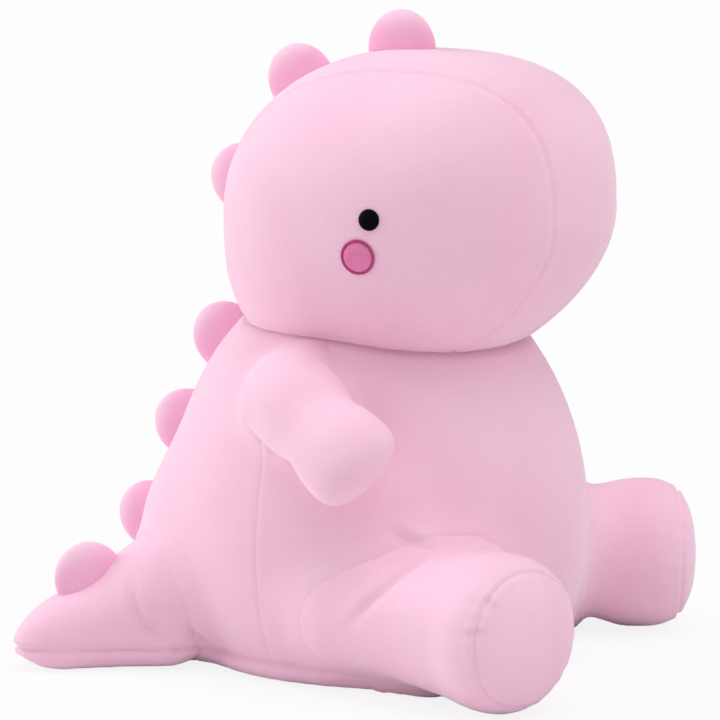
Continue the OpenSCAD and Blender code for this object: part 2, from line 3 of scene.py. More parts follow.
import bmesh
import bpy
import numpy as np
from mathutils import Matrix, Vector


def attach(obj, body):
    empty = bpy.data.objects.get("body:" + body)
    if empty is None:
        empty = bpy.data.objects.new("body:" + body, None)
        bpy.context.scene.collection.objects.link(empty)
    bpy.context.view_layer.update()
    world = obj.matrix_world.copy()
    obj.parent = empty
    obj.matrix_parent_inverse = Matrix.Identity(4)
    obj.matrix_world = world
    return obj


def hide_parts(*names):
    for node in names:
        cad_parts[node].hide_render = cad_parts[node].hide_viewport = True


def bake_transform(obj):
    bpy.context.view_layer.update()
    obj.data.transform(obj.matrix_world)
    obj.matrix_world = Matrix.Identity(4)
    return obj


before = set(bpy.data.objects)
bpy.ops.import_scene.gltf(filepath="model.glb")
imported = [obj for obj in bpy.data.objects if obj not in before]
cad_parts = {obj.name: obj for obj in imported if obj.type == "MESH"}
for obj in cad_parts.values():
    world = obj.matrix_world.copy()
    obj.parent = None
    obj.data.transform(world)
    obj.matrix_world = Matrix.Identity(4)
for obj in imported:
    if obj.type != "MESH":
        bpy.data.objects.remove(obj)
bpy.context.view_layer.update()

# Lengths are in millimetres up to the meshes, which are in metres
MM = 0.001
TINY = 1e-9
UP = np.array([0.0, 0.0, 1.0])
FORWARD = np.array([0.0, -1.0, 0.0])
ARMS = ("arm_right", "arm_left")
LEGS = ("leg_right", "leg_left")

# Torso
TORSO_R = 163
TORSO_MID_Z = 100
TORSO_RISE = 208
SEAT_R = 124
SEAT_BULGE = 1.8
NECK_JOIN_Z = 232
RUMP_R = 86
RUMP_OUT = 98
RUMP_TURN = math.radians(20)
RUMP_Z = 84
RUMP_FILLET = 30
SIDE_SEAM = 100
SPIKE_SEAM = 174
BASE_SEAM_Z = 16
BASE_SEAM_R = 142.8
BASE_BULGE = 2.5
BASE_TURN_IN = 8
BASE_TURN_POWER = 4
FLOOR_GAP = 0.4
SLOPE_STEP = 0.5
SLOPE_LIMIT = 6

# Head
HEAD_W = 276
HEAD_L = 296
HEAD_H = 248
HEAD_FWD = 35
HEAD_LIFT = 43
BROW_POWER = 2.8
CHIN_POWER = 1.7
CROWN_POWER = 2.1
NAPE_POWER = 3.0
CHEEK_POWER = 2.2
GUSSET_HALF = 65
EYE_FWD = 18
EYE_UP = 11
EYE_R = 8
EYE_DOME = 3.6
CHEEK_FWD = 9
CHEEK_UP = -17
CHEEK_R = 13

# Spikes
SPIKE_W = 55
SPIKE_H = 30
SPIKE_T = 22
HEAD_SPIKES = {"front": 97, "crown": 136, "rear": 173}
NAPE_SPIKE_DROP = 63
BACK_SPIKE_DROP = 133
RUMP_SPIKE_RISE = math.radians(8)
TAIL_SPIKE_AT = 56

# Arms
ARM_DROP = 83
ARM_ANGLE = 95
ARM_BALLS = (0, 80)
ARM_FILLET = 20
ARM_L = 116
ARM_ROOT_R = 37
ARM_HAND_R = 37
WRIST_AT = 55.7
WRIST_SPAN = 16
WRIST_PINCH = 5.0
HAND_FLAT = 0.72
ARM_CAP = 27
ARM_CAP_POWER = 3.2
ARM_TURN_ROOT = math.radians(56)
ARM_TURN_HAND = math.radians(110)
ARM_DROOP = math.radians(34)
ARM_LEFT_LOWER = math.radians(14)
ARM_SETTLE = 70

# Legs
HIP_R = 55
HIP_ANGLE = math.radians(52)
HIP_SINK = 7
HIP_BLEND = 20
LEG_SPLAY = math.radians(25)
FOOT_R = 59
FOOT_REACH = 76
FOOT_CAP = 42
SOLE_R = 50
SOLE_POWER = 2.6
THIGH_FROM = -35
THIGH_TO = 64
THIGH_ASIDE = 40
THIGH_ASIDE_END = 3
THIGH_R = 34
THIGH_R_END = 55.5
THIGH_BALLS = 19
LEG_BALLS = (-20, 90)
LEG_FILLET = 42

# Tail
TAIL_ROOT_R = 46
TAIL_TIP_R = 20
TAIL_ANGLE = math.radians(38)
TAIL_OUT = 15
TAIL_TURN_ROOT = math.radians(34)
TAIL_TURN_TIP = math.radians(48)
TAIL_L = 116
TAIL_CAP = 34
TAIL_CAP_POWER = 2.2
TAIL_BLEND = 24
TAIL_SEAM_Z = 17
TAIL_SEAM_DROP = (0.1, 0.92)
TAIL_FLAT_POWER = 5.0
TAIL_BALLS = (-20, 90)
TAIL_FILLET = 26

# Roots of the limbs, which start inside the body, end along the limb and swell by no more than a reach
ARM_ROOT_FROM = -30
LEG_ROOT_FROM = -76
TAIL_ROOT_FROM = -66
ROOT_END = {"arm": 62, "leg": 88, "tail": 64}
ROOT_REACH = {"arm": 40.0, "leg": 80.0, "tail": 70.0}
ROOT_FADE = 25
ROOT_R = 32
ROOT_FLOOR = 7
BALL_STEP = 5

# Cloth
FABRIC_T = 2.4
BODY_CORE_INSET = 10.0
LIMB_CORE_INSET = 8.0
COLLAR = 12.0
COLLAR_FALL = 11.0
LAP_DEPTH = 4.0
LAP_WIDTH = 12.0
LAP_START = COLLAR + 1
SWELL_ROUNDS = 30
SWELL_PACE = 0.7
LINE_STEP = 1.5
FIELD_STEP = 0.5
CLOTH_QUALITY = 5
CLOTH_MASS = 0.2
STUFFING_PRESSURE = 4.0
STUFFING_FRAMES = 20
STUFFING_CAP = 2.5


def unit(vectors):
    vectors = np.asarray(vectors, float)
    return vectors / np.maximum(np.linalg.norm(vectors, axis=-1, keepdims=True), TINY)


def ease(share):
    share = np.clip(share, 0, 1)
    return share * share * (3 - 2 * share)


def bulge(share, power):
    """Rise of a rounded square at a share of its half width, 1 in the middle and 0 at the edge."""
    return (1 - share ** power) ** (1 / power)


def facing(turn):
    """Level direction, by turn from the front towards the right side."""
    return np.array([-math.sin(turn), -math.cos(turn), 0])


def circle(turns, across, up):
    """Directions round a tube, by turn from one side of it towards the other."""
    return np.cos(turns)[:, None] * across + np.sin(turns)[:, None] * up


def soft_join(first, second, fillet):
    """Distance to two forms that flow into each other over a fillet."""
    share = np.clip(0.5 + 0.5 * (second - first) / fillet, 0, 1)
    return second + (first - second) * share - fillet * share * (1 - share)


def spaced(stops, step):
    """Values through all the stops, never further apart than the step."""
    values = [stops[0]]
    for low, high in zip(stops, stops[1:]):
        count = max(1, math.ceil((high - low) / step - TINY))
        values += [low + (high - low) * i / count for i in range(1, count + 1)]
    return np.array(values)


# Torso outline
join_level = (NECK_JOIN_Z - TORSO_MID_Z) / TORSO_RISE
join_r = TORSO_R * math.sqrt(1 - join_level ** 2)
join_slope = TORSO_R ** 2 * join_level / (TORSO_RISE * join_r)
neck_z = NECK_JOIN_Z - join_r * join_slope
neck_r = math.hypot(join_r, NECK_JOIN_Z - neck_z)
neck_top_z = neck_z + neck_r
neck_mid = np.array([0, 0, neck_z])


def torso_radius(z):
    """Radius at a height: the band over the base, the seat, the egg and the dome of the neck."""
    z = np.asarray(z, float)
    dome = np.sqrt(np.maximum(0, neck_r ** 2 - (z - neck_z) ** 2))
    egg = TORSO_R * np.sqrt(np.maximum(0, 1 - ((z - TORSO_MID_Z) / TORSO_RISE) ** 2))
    low = np.clip((TORSO_MID_Z - z) / TORSO_MID_Z, 0, 1)
    seat = SEAT_R + (TORSO_R - SEAT_R) * bulge(low, SEAT_BULGE)
    rise = np.clip(z / BASE_SEAM_Z, 0, 1)
    band = BASE_SEAM_R + BASE_BULGE * np.sin(math.pi * rise)
    band = band - BASE_TURN_IN * (1 - rise) ** BASE_TURN_POWER
    seat = np.where(z < BASE_SEAM_Z, band, seat)
    return np.where(z > NECK_JOIN_Z, dome, np.where(z > TORSO_MID_Z, egg, seat))


def torso_slope(z):
    change = torso_radius(z + SLOPE_STEP) - torso_radius(np.maximum(z - SLOPE_STEP, 0))
    return np.clip(change, -SLOPE_LIMIT, SLOPE_LIMIT)


def torso_normal(z, angle):
    """Outward direction at a height and an angle from the front towards the right side."""
    turn = np.radians(angle)
    slope = torso_slope(np.asarray(z, float))
    return unit(np.stack(np.broadcast_arrays(-np.sin(turn), -np.cos(turn), -slope), -1))


def torso_point(z, angle):
    turn = np.radians(angle)
    r = torso_radius(z)
    return np.stack(np.broadcast_arrays(-r * np.sin(turn), -r * np.cos(turn), z), -1)


def torso_field(points):
    z = points[:, 2]
    slope = torso_slope(z)
    return (np.hypot(points[:, 0], points[:, 1]) - torso_radius(z)) / np.sqrt(1 + slope ** 2)


rump_mid = np.array([-RUMP_OUT * math.sin(RUMP_TURN), RUMP_OUT * math.cos(RUMP_TURN), RUMP_Z])

# Head outline
head_mid = np.array([0, -HEAD_FWD, neck_top_z + HEAD_LIFT])


def head_reach(angle):
    """Distance from the middle of the head to its outline, by angle from the muzzle over the top."""
    fwd = np.cos(angle)
    up = np.sin(angle)
    above = np.where(fwd >= 0, BROW_POWER, CROWN_POWER)
    below = np.where(fwd >= 0, CHIN_POWER, NAPE_POWER)
    power = np.where(up >= 0, above, below)
    return ((np.abs(fwd) * 2 / HEAD_L) ** power + (np.abs(up) * 2 / HEAD_H) ** power) ** (-1 / power)


def head_point(angle, lift):
    """Point of the head by angle and by lift from the middle plane towards the left side."""
    reach = head_reach(angle) * np.cos(lift) ** (2 / CHEEK_POWER)
    side = np.sign(lift) * HEAD_W / 2 * np.abs(np.sin(lift)) ** (2 / CHEEK_POWER)
    return head_mid + np.stack([side, -reach * np.cos(angle), reach * np.sin(angle)], -1)


def head_lift_at(x):
    return math.asin((2 * x / HEAD_W) ** (CHEEK_POWER / 2))


def head_level(points):
    """Zero on the head, negative inside it."""
    rel = points - head_mid
    angle = np.arctan2(rel[..., 2], -rel[..., 1])
    share = np.hypot(rel[..., 1], rel[..., 2]) / head_reach(angle)
    side = np.abs(rel[..., 0]) * 2 / HEAD_W
    return (share ** CHEEK_POWER + side ** CHEEK_POWER) ** (1 / CHEEK_POWER) - 1


def face_point(fwd, up):
    """Point of the right side of the face in front of the head's middle and above it."""
    angle = math.atan2(up, fwd)
    share = math.hypot(fwd, up) / float(head_reach(angle))
    side = -HEAD_W / 2 * bulge(share, CHEEK_POWER)
    return head_mid + np.array([side, -fwd, up])


def face_normal(fwd, up):
    across = face_point(fwd + 1, up) - face_point(fwd - 1, up)
    rise = face_point(fwd, up + 1) - face_point(fwd, up - 1)
    out = unit(np.cross(rise, across))
    return out if out[0] < 0 else -out


def ridge_point(angle):
    return head_point(np.radians(angle), np.array(0.0))


def ridge_normal(angle):
    step = ridge_point(angle + 1) - ridge_point(angle - 1)
    return unit(np.array([0, -step[2], step[1]]))


# Arm on the right, a bent tube that stands on the torso
arm_z = neck_top_z - ARM_DROP
shoulder = torso_point(arm_z, ARM_ANGLE)
shoulder_normal = torso_normal(arm_z, ARM_ANGLE)
shoulder_fwd = np.array([math.cos(math.radians(ARM_ANGLE)), -math.sin(math.radians(ARM_ANGLE)), 0])
shoulder_up = np.cross(shoulder_fwd, shoulder_normal)
shoulder_up = shoulder_up * np.sign(shoulder_up[2])
arm_lean = math.cos(ARM_DROOP) * shoulder_fwd - math.sin(ARM_DROOP) * shoulder_up
arm_side = np.cross(shoulder_normal, arm_lean)
arm_bend_r = ARM_L / (ARM_TURN_HAND - ARM_TURN_ROOT)


def arm_turn(s):
    return ARM_TURN_ROOT + (ARM_TURN_HAND - ARM_TURN_ROOT) * s / ARM_L


def arm_centre(s):
    turn = arm_turn(s)
    out = arm_bend_r * (np.sin(turn) - math.sin(ARM_TURN_ROOT))
    along = arm_bend_r * (math.cos(ARM_TURN_ROOT) - np.cos(turn))
    return shoulder + out[..., None] * shoulder_normal + along[..., None] * arm_lean


def arm_radius(s):
    into_cap = np.maximum(0, s - (ARM_L - ARM_CAP)) / ARM_CAP
    full = ARM_ROOT_R + (ARM_HAND_R - ARM_ROOT_R) * s / ARM_L
    full = full - WRIST_PINCH * np.exp(-((s - WRIST_AT) / WRIST_SPAN) ** 2)
    return full * np.sqrt(np.maximum(0, 1 - into_cap ** ARM_CAP_POWER))


def arm_rings(steps, turns):
    rings = []
    for s in steps:
        settled = np.clip(s / ARM_SETTLE, 0, 1)
        tilt = arm_turn(max(s, 0)) * settled
        flat = 1 - (1 - HAND_FLAT) * settled
        across = flat * (math.cos(tilt) * arm_lean - math.sin(tilt) * shoulder_normal)
        rings.append(arm_centre(np.array(s)) + arm_radius(max(s, 0)) * circle(turns, across, arm_side))
    return rings


# Leg on the right, turned about one level axis
leg_z = FOOT_R + FLOOR_GAP
leg_l = FOOT_REACH + FOOT_CAP
hip_out = float(torso_radius(leg_z)) - HIP_SINK
hip = hip_out * facing(HIP_ANGLE) + leg_z * UP
leg_axis = facing(LEG_SPLAY)
leg_cross = np.array([leg_axis[1], -leg_axis[0], 0])
hip_blend_r = math.sqrt(HIP_R ** 2 - HIP_BLEND ** 2)
sole_seam = FOOT_REACH + FOOT_CAP * bulge(SOLE_R / FOOT_R, SOLE_POWER)


def leg_radius(s):
    """Radius along the leg: the ball of the hip, a smooth run to the foot, and the foot's cap."""
    s = np.asarray(s, float)
    ball = np.sqrt(np.maximum(0, HIP_R ** 2 - s * s))
    into_cap = np.clip((s - FOOT_REACH) / FOOT_CAP, 0, 1)
    cap = FOOT_R * bulge(into_cap, SOLE_POWER)
    span = FOOT_REACH - HIP_BLEND
    run = (s - HIP_BLEND) / span
    calf = hip_blend_r * (1 + 2 * run) * (1 - run) ** 2 + FOOT_R * run * run * (3 - 2 * run)
    calf = calf - span * HIP_BLEND / hip_blend_r * run * (1 - run) ** 2
    return np.where(s <= HIP_BLEND, ball, np.where(s >= FOOT_REACH, cap, calf))


def rooted(radius, s):
    """Radius of a limb at a step, no thinner than its root inside the body."""
    return float(radius(s)) if s > 0 else max(float(radius(s)), ROOT_R)


def leg_rings(steps, turns):
    rings = []
    for s in steps:
        rings.append(hip + s * leg_axis + rooted(leg_radius, s) * circle(turns, leg_cross, UP))
    return rings


# Tail, a bent tube that lies on the floor
tail_root_out = float(torso_radius(TAIL_ROOT_R + FLOOR_GAP)) + TAIL_OUT
tail_root = np.array([-tail_root_out * math.sin(TAIL_ANGLE), tail_root_out * math.cos(TAIL_ANGLE),
                      TAIL_ROOT_R + FLOOR_GAP])
tail_blend_r = math.sqrt(TAIL_ROOT_R ** 2 - TAIL_BLEND ** 2)
tail_bend_r = TAIL_L / (TAIL_TURN_TIP - TAIL_TURN_ROOT)


def tail_turn(s):
    return TAIL_TURN_ROOT + (TAIL_TURN_TIP - TAIL_TURN_ROOT) * np.maximum(0, s) / TAIL_L


def tail_full(s):
    """Radius along the tail without its cap: the ball of the root and a cone."""
    ball = np.sqrt(np.maximum(0, TAIL_ROOT_R ** 2 - np.minimum(s, TAIL_BLEND) ** 2))
    run = (s - TAIL_BLEND) / (TAIL_L - TAIL_BLEND)
    return np.where(s <= TAIL_BLEND, ball, tail_blend_r + (TAIL_TIP_R - tail_blend_r) * run)


def tail_radius(s):
    into_cap = np.clip((s - (TAIL_L - TAIL_CAP)) / TAIL_CAP, 0, 1)
    return tail_full(s) * np.sqrt(1 - into_cap ** TAIL_CAP_POWER)


def tail_centre(s):
    s = np.asarray(s, float)
    turn = tail_turn(s)
    back = np.minimum(0, s)
    x = tail_root[0] + tail_bend_r * (np.cos(turn) - math.cos(TAIL_TURN_ROOT))
    x = x - back * math.sin(TAIL_TURN_ROOT)
    y = tail_root[1] + tail_bend_r * (np.sin(turn) - math.sin(TAIL_TURN_ROOT))
    y = y + back * math.cos(TAIL_TURN_ROOT)
    z = np.where(s <= 0, tail_root[2], tail_full(s) + FLOOR_GAP)
    return np.stack([x, y, z], -1)


def tail_seam_turn(s):
    """Angle round the tail at which its side reaches the seam of the under panel."""
    below = float(tail_centre(s)[2]) - TAIL_SEAM_Z
    drop = np.clip(below / max(float(tail_radius(s)), TINY), *TAIL_SEAM_DROP)
    return math.asin(drop ** (TAIL_FLAT_POWER / 2))


def tail_ring(s, turns):
    """Ring of the tail, round above and flatter below, where it lies on the floor."""
    turn = float(tail_turn(s))
    across = np.array([math.cos(turn), math.sin(turn), 0])
    flat = 2 / TAIL_FLAT_POWER
    aside = np.cos(turns)
    rise = np.sin(turns)
    lower = rise < 0
    aside = np.where(lower, np.sign(aside) * np.abs(aside) ** flat, aside)
    rise = np.where(lower, -np.abs(rise) ** flat, rise)
    return tail_centre(s) + rooted(tail_radius, s) * (aside[:, None] * across + rise[:, None] * UP)


def mirrored(points):
    return points * np.array([-1, 1, 1])


def turned_about(vectors, axis, angle):
    along = (vectors @ axis)[..., None] * axis
    return along + (vectors - along) * math.cos(angle) + np.cross(axis, vectors) * math.sin(angle)


def left_arm(points):
    """Points of the right arm, hung lower and mirrored to the left side."""
    return mirrored(shoulder + turned_about(points - shoulder, shoulder_normal, -ARM_LEFT_LOWER))


# Rows of balls that stand for the limbs where they grow out of the body
arm_steps = spaced(ARM_BALLS, BALL_STEP)
arm_balls = arm_centre(arm_steps)
arm_balls_r = arm_radius(arm_steps) * (1 - (1 - HAND_FLAT) * np.clip(arm_steps / ARM_SETTLE, 0, 1))
calf_steps = spaced(LEG_BALLS, BALL_STEP)
thigh_share = np.linspace(0, 1, THIGH_BALLS)
thigh_steps = THIGH_FROM + (THIGH_TO - THIGH_FROM) * thigh_share
thigh_aside = THIGH_ASIDE * (1 - thigh_share) + THIGH_ASIDE_END * thigh_share
thigh_r = THIGH_R + (THIGH_R_END - THIGH_R) * thigh_share
leg_steps = np.concatenate([calf_steps, thigh_steps])
leg_balls = hip + np.concatenate([calf_steps[:, None] * leg_axis,
                                  thigh_steps[:, None] * leg_axis + thigh_aside[:, None] * leg_cross])
leg_balls_r = np.concatenate([leg_radius(calf_steps), thigh_r])
tail_steps = spaced(TAIL_BALLS, BALL_STEP)
LIMBS = {
    "arm_right": (arm_balls, arm_balls_r, arm_steps, ARM_FILLET),
    "arm_left": (left_arm(arm_balls), arm_balls_r, arm_steps, ARM_FILLET),
    "leg_right": (leg_balls, leg_balls_r, leg_steps, LEG_FILLET),
    "leg_left": (mirrored(leg_balls), leg_balls_r, leg_steps, LEG_FILLET),
    "tail": (tail_centre(tail_steps), tail_radius(tail_steps), tail_steps, TAIL_FILLET),
}


def limb_field(points, limb):
    """Distance to a limb, and the place along it that is nearest."""
    balls, radii, steps, _ = LIMBS[limb]
    gaps = np.linalg.norm(points[:, None, :] - balls[None], axis=2) - radii
    nearest = gaps.argmin(1)
    return gaps.min(1), steps[nearest]


def trunk_field(points):
    """Distance to the torso, with the rump flowing out of it."""
    return soft_join(torso_field(points), np.linalg.norm(points - rump_mid, axis=1) - RUMP_R, RUMP_FILLET)


def body_field(points):
    """Distance to the torso, with the rump and the limbs flowing out of it."""
    level = trunk_field(points)
    for limb, (_, _, _, fillet) in LIMBS.items():
        level = soft_join(level, limb_field(points, limb)[0], fillet)
    return level


def field_normal(points, field):
    slopes = [field(points + offset) - field(points - offset) for offset in FIELD_STEP * np.eye(3)]
    return unit(np.stack(slopes, -1))


def swell(points, directions, reach, field=body_field):
    """Points moved outwards until they lie on a form, at most by a reach."""
    lift = np.zeros(len(points))
    for _ in range(SWELL_ROUNDS):
        lift = np.clip(lift - SWELL_PACE * field(points + lift[:, None] * directions), 0, reach)
    return points + lift[:, None] * directions


def tube_faces(rows, columns):
    """Faces between closed rings, counted row by row, and the row and column of each."""
    faces = []
    places = []
    for j in range(rows - 1):
        for i in range(columns):
            k = (i + 1) % columns
            faces.append((j * columns + i, j * columns + k, (j + 1) * columns + k, (j + 1) * columns + i))
            places.append((j, i))
    return faces, places


def fan_faces(start, columns, tip):
    return [(start + i, start + (i + 1) % columns, tip) for i in range(columns)]


def in_scene(name, data):
    """A new object in the scene."""
    made = bpy.data.objects.new(name, data)
    bpy.context.scene.collection.objects.link(made)
    return made


def face_out(mesh, weld=0):
    """Turns the faces of a closed mesh outwards, after joining the points that lie within the weld."""
    shell = bmesh.new()
    shell.from_mesh(mesh)
    if weld:
        bmesh.ops.remove_doubles(shell, verts=shell.verts, dist=weld)
    bmesh.ops.recalc_face_normals(shell, faces=shell.faces)
    shell.to_mesh(mesh)
    shell.free()


def new_cover(name, points, faces, panels=None):
    """A closed cover; each face's material index is the panel that it belongs to."""
    panels = panels or [0] * len(faces)
    mesh = bpy.data.meshes.new(name)
    mesh.from_pydata((np.asarray(points) * MM).tolist(), [], faces)
    for _ in range(max(panels) + 1):
        mesh.materials.append(None)
    mesh.polygons.foreach_set("material_index", panels)
    face_out(mesh)
    mesh.shade_smooth()
    return in_scene(name, mesh)


def points_of(cover):
    flat = np.zeros(len(cover.data.vertices) * 3)
    cover.data.vertices.foreach_get("co", flat)
    return flat.reshape(-1, 3) / MM


def above_floor(points, gap):
    """Points raised to a gap above the floor where they lie lower."""
    return np.column_stack([points[:, :2], np.maximum(points[:, 2], gap)])


def normals_of(cover):
    flat = np.zeros(len(cover.data.vertices) * 3)
    cover.data.vertex_normals.foreach_get("vector", flat)
    return flat.reshape(-1, 3)


def set_points(cover, points):
    cover.data.vertices.foreach_set("co", (points * MM).ravel())
    cover.data.update()


def evaluated_mesh(cover):
    graph = bpy.context.evaluated_depsgraph_get()
    return bpy.data.meshes.new_from_object(cover.evaluated_get(graph))


def refine(cover):
    """One level of subdivision, applied."""
    smoother = cover.modifiers.new("Refine", "SUBSURF")
    smoother.levels = 1
    mesh = evaluated_mesh(cover)
    cover.modifiers.clear()
    cover.data = mesh


def stuff(covers):
    """Fills the covers under pressure; held points stay, and no point moves further than the cap."""
    scene = bpy.context.scene
    starts = []
    for cover, weights in covers:
        group = cover.vertex_groups.new(name="held")
        for index, weight in enumerate(weights):
            if weight > 0:
                group.add([index], float(weight), "REPLACE")
        cloth = cover.modifiers.new("Stuffing", "CLOTH")
        cloth.settings.quality = CLOTH_QUALITY
        cloth.settings.mass = CLOTH_MASS
        cloth.settings.use_pressure = True
        cloth.settings.uniform_pressure_force = STUFFING_PRESSURE
        cloth.settings.effector_weights.gravity = 0
        cloth.settings.vertex_group_mass = "held"
        cloth.collision_settings.use_collision = False
        starts.append(points_of(cover))
    for step in range(1, STUFFING_FRAMES + 1):
        scene.frame_set(step)
    graph = bpy.context.evaluated_depsgraph_get()
    ends = [points_of(cover.evaluated_get(graph)) for cover, _ in covers]
    for (cover, _), start, end in zip(covers, starts, ends):
        cover.modifiers.clear()
        cover.vertex_groups.clear()
        move = end - start
        long = np.maximum(np.linalg.norm(move, axis=1), TINY)
        set_points(cover, start + move * (np.minimum(long, STUFFING_CAP) / long)[:, None])
    scene.frame_set(1)


def thread(points):
    """A line through the points at an even step, with the length along it."""
    points = np.asarray(points, float)
    lengths = np.concatenate([[0], np.cumsum(np.linalg.norm(np.diff(points, axis=0), axis=1))])
    along = np.arange(0, lengths[-1] + LINE_STEP / 2, LINE_STEP)
    line = np.stack([np.interp(along, lengths, points[:, axis]) for axis in range(3)], -1)
    return line, along


# A line is felt only this near to it, and points further off count as far away
LINE_REACH = 40
FAR_AWAY = 1e6
POINTS_AT_ONCE = 4000


def beside(points, line):
    """Distance of each point to a line, the length along it and the offset from it."""
    places, along = line
    gaps = np.full(len(points), FAR_AWAY)
    lengths = np.zeros(len(points))
    near = np.zeros((len(points), 3))
    low = places.min(0) - LINE_REACH
    high = places.max(0) + LINE_REACH
    inside = np.flatnonzero(((points > low) & (points < high)).all(1))
    for part in np.array_split(inside, max(1, len(inside) // POINTS_AT_ONCE)):
        if len(part) == 0:
            continue
        apart = np.linalg.norm(points[part][:, None, :] - places[None], axis=2)
        nearest = apart.argmin(1)
        gaps[part] = apart.min(1)
        lengths[part] = along[nearest]
        near[part] = points[part] - places[nearest]
    return gaps, lengths, near


# Lips beside a seam: their height as a share of its depth, their place and spread in its widths
LIP_HEIGHT = 0.3
LIP_OFF = 2.6
LIP_SPREAD = 1.5

# Puckers across a seam: how far they reach, and a second longer wave that makes them uneven
PUCKER_REACH = 10.0
SECOND_WAVE = 0.6
SECOND_PITCH = 1.63
SECOND_SHIFT = 1.1

# A fold fades over a third of its length at each end, and its roll lies two widths off
FOLD_FADE = 3
ROLL_OFF = 2


def sewn(points, normals, line, depth, width, pucker, pitch):
    """A seam: a groove along a line, full lips beside it and small puckers across it."""
    gaps, along, _ = beside(points, line)
    groove = -depth * np.exp(-(gaps / width) ** 2)
    lips = LIP_HEIGHT * depth * np.exp(-((gaps - LIP_OFF * width) / (LIP_SPREAD * width)) ** 2)
    second = np.sin(2 * math.pi * along / (pitch * SECOND_PITCH) + SECOND_SHIFT)
    wave = np.sin(2 * math.pi * along / pitch) + SECOND_WAVE * second
    ripple = pucker * wave * np.exp(-gaps / PUCKER_REACH) * np.clip(gaps / width, 0, 1)
    return points + normals * (groove + lips + ripple)[:, None]


def creased(points, normals, line, depth, width, lip):
    """A fold: a groove that fades towards both ends, with a raised roll along its upper side."""
    gaps, along, apart = beside(points, line)
    fade = ease(FOLD_FADE * along / line[1][-1]) * ease(FOLD_FADE * (1 - along / line[1][-1]))
    groove = -depth * np.exp(-(gaps / width) ** 2)
    upper = np.clip(apart[:, 2] / np.maximum(gaps, TINY), 0, 1)
    roll = lip * np.exp(-((gaps - ROLL_OFF * width) / width) ** 2) * upper
    return points + normals * (fade * (groove + roll))[:, None]


def tucked(points):
    """The root of a limb's cover, sunk under the collar of the body's cover."""
    share = ease((LAP_START - trunk_field(points)) / LAP_WIDTH)
    return points - field_normal(points, body_field) * (LAP_DEPTH * share)[:, None]


# Body: columns round the torso, in degrees and closer beside a seam, and rows from the base to the neck
COLUMN_STEP = 2.6
SEAM_STEP = 1.1
BASE_TIP_R = 12
BASE_STEP = 9
LOW_ROWS = [FLOOR_GAP, 3, 7, 11, 14, BASE_SEAM_Z, 18, 21, 26, 40, 60]
LOW_STEP = 6
SIDE_ROWS_TO = 222
SIDE_STEP = 7.5
DOME_STEP = math.radians(1.9)
DOME_TIP = math.radians(4)


def around_seam(angle):
    """Five columns, close together beside a seam, which is the third of them."""
    return [angle - COLUMN_STEP, angle - SEAM_STEP, angle, angle + SEAM_STEP, angle + COLUMN_STEP]


column_stops = around_seam(-SIDE_SEAM)[2:] + around_seam(SIDE_SEAM)
column_stops += around_seam(SPIKE_SEAM) + around_seam(360 - SIDE_SEAM)[:3]
column_angles = spaced(column_stops, COLUMN_STEP)[:-1]
columns = len(column_angles)
base_radii = spaced([BASE_TIP_R, BASE_SEAM_R - BASE_TURN_IN], BASE_STEP)[:-1]
low_rows = spaced(LOW_ROWS, LOW_STEP)
side_rows = spaced([LOW_ROWS[-1], SIDE_ROWS_TO], SIDE_STEP)[1:]
join_polar = math.atan2(float(torso_radius(SIDE_ROWS_TO)), SIDE_ROWS_TO - neck_z)
dome_polar = spaced([-join_polar, -DOME_TIP], DOME_STEP)[1:]

# The spike seam runs straight down the back, then turns towards the tail
SEAM_BEND_FROM = 150
SEAM_BEND = 32
SEAM_BEND_POWER = 1.5
SEAM_BEND_SPREAD = 70

# Close to the floor the cover swells out level, and close to the neck it hardly swells
LEVEL_OUT = 25
BODY_REACH = 60.0
CORE_REACH_SHARE = 2
NECK_REACH = 4.0
NECK_ROWS = 18


def columns_at(z):
    """Angles of the columns at a height, bent with the spike seam."""
    fall = ease((SEAM_BEND_FROM - z) / SEAM_BEND_FROM) ** SEAM_BEND_POWER
    near = ease(1 - np.abs(column_angles - SPIKE_SEAM) / SEAM_BEND_SPREAD)
    return column_angles - SEAM_BEND * fall * near


body_rings = []
body_out = []
for r in base_radii:
    turn = np.radians(columns_at(0))
    ring = np.stack([-r * np.sin(turn), -r * np.cos(turn), np.full(columns, FLOOR_GAP)], -1)
    body_rings.append(ring)
    body_out.append(np.tile(-UP, (columns, 1)))
for z in np.concatenate([low_rows, side_rows]):
    level = np.array([1, 1, float(ease((z - BASE_SEAM_Z) / LEVEL_OUT))])
    body_rings.append(torso_point(z, columns_at(z)))
    body_out.append(unit(torso_normal(z, columns_at(z)) * level))
for polar in -dome_polar:
    turn = np.radians(column_angles)
    out = np.stack([-math.sin(polar) * np.sin(turn), -math.sin(polar) * np.cos(turn),
                    np.full(columns, math.cos(polar))], -1)
    body_rings.append(neck_mid + neck_r * out)
    body_out.append(out)
body_rows = len(body_rings)
base_edge = len(base_radii)
seam_row = base_edge + int(np.flatnonzero(low_rows == BASE_SEAM_Z)[0])
top_row = body_rows - 1

body_points = np.concatenate(body_rings)
out = np.concatenate(body_out)
row_of = np.repeat(np.arange(body_rows), columns)
reach = np.where(row_of > body_rows - NECK_ROWS, NECK_REACH, BODY_REACH)
reach = np.where(row_of <= base_edge, 0.0, reach)
core_points = swell(body_points - BODY_CORE_INSET * out, out, CORE_REACH_SHARE * reach,
                    lambda places: trunk_field(places) + BODY_CORE_INSET)

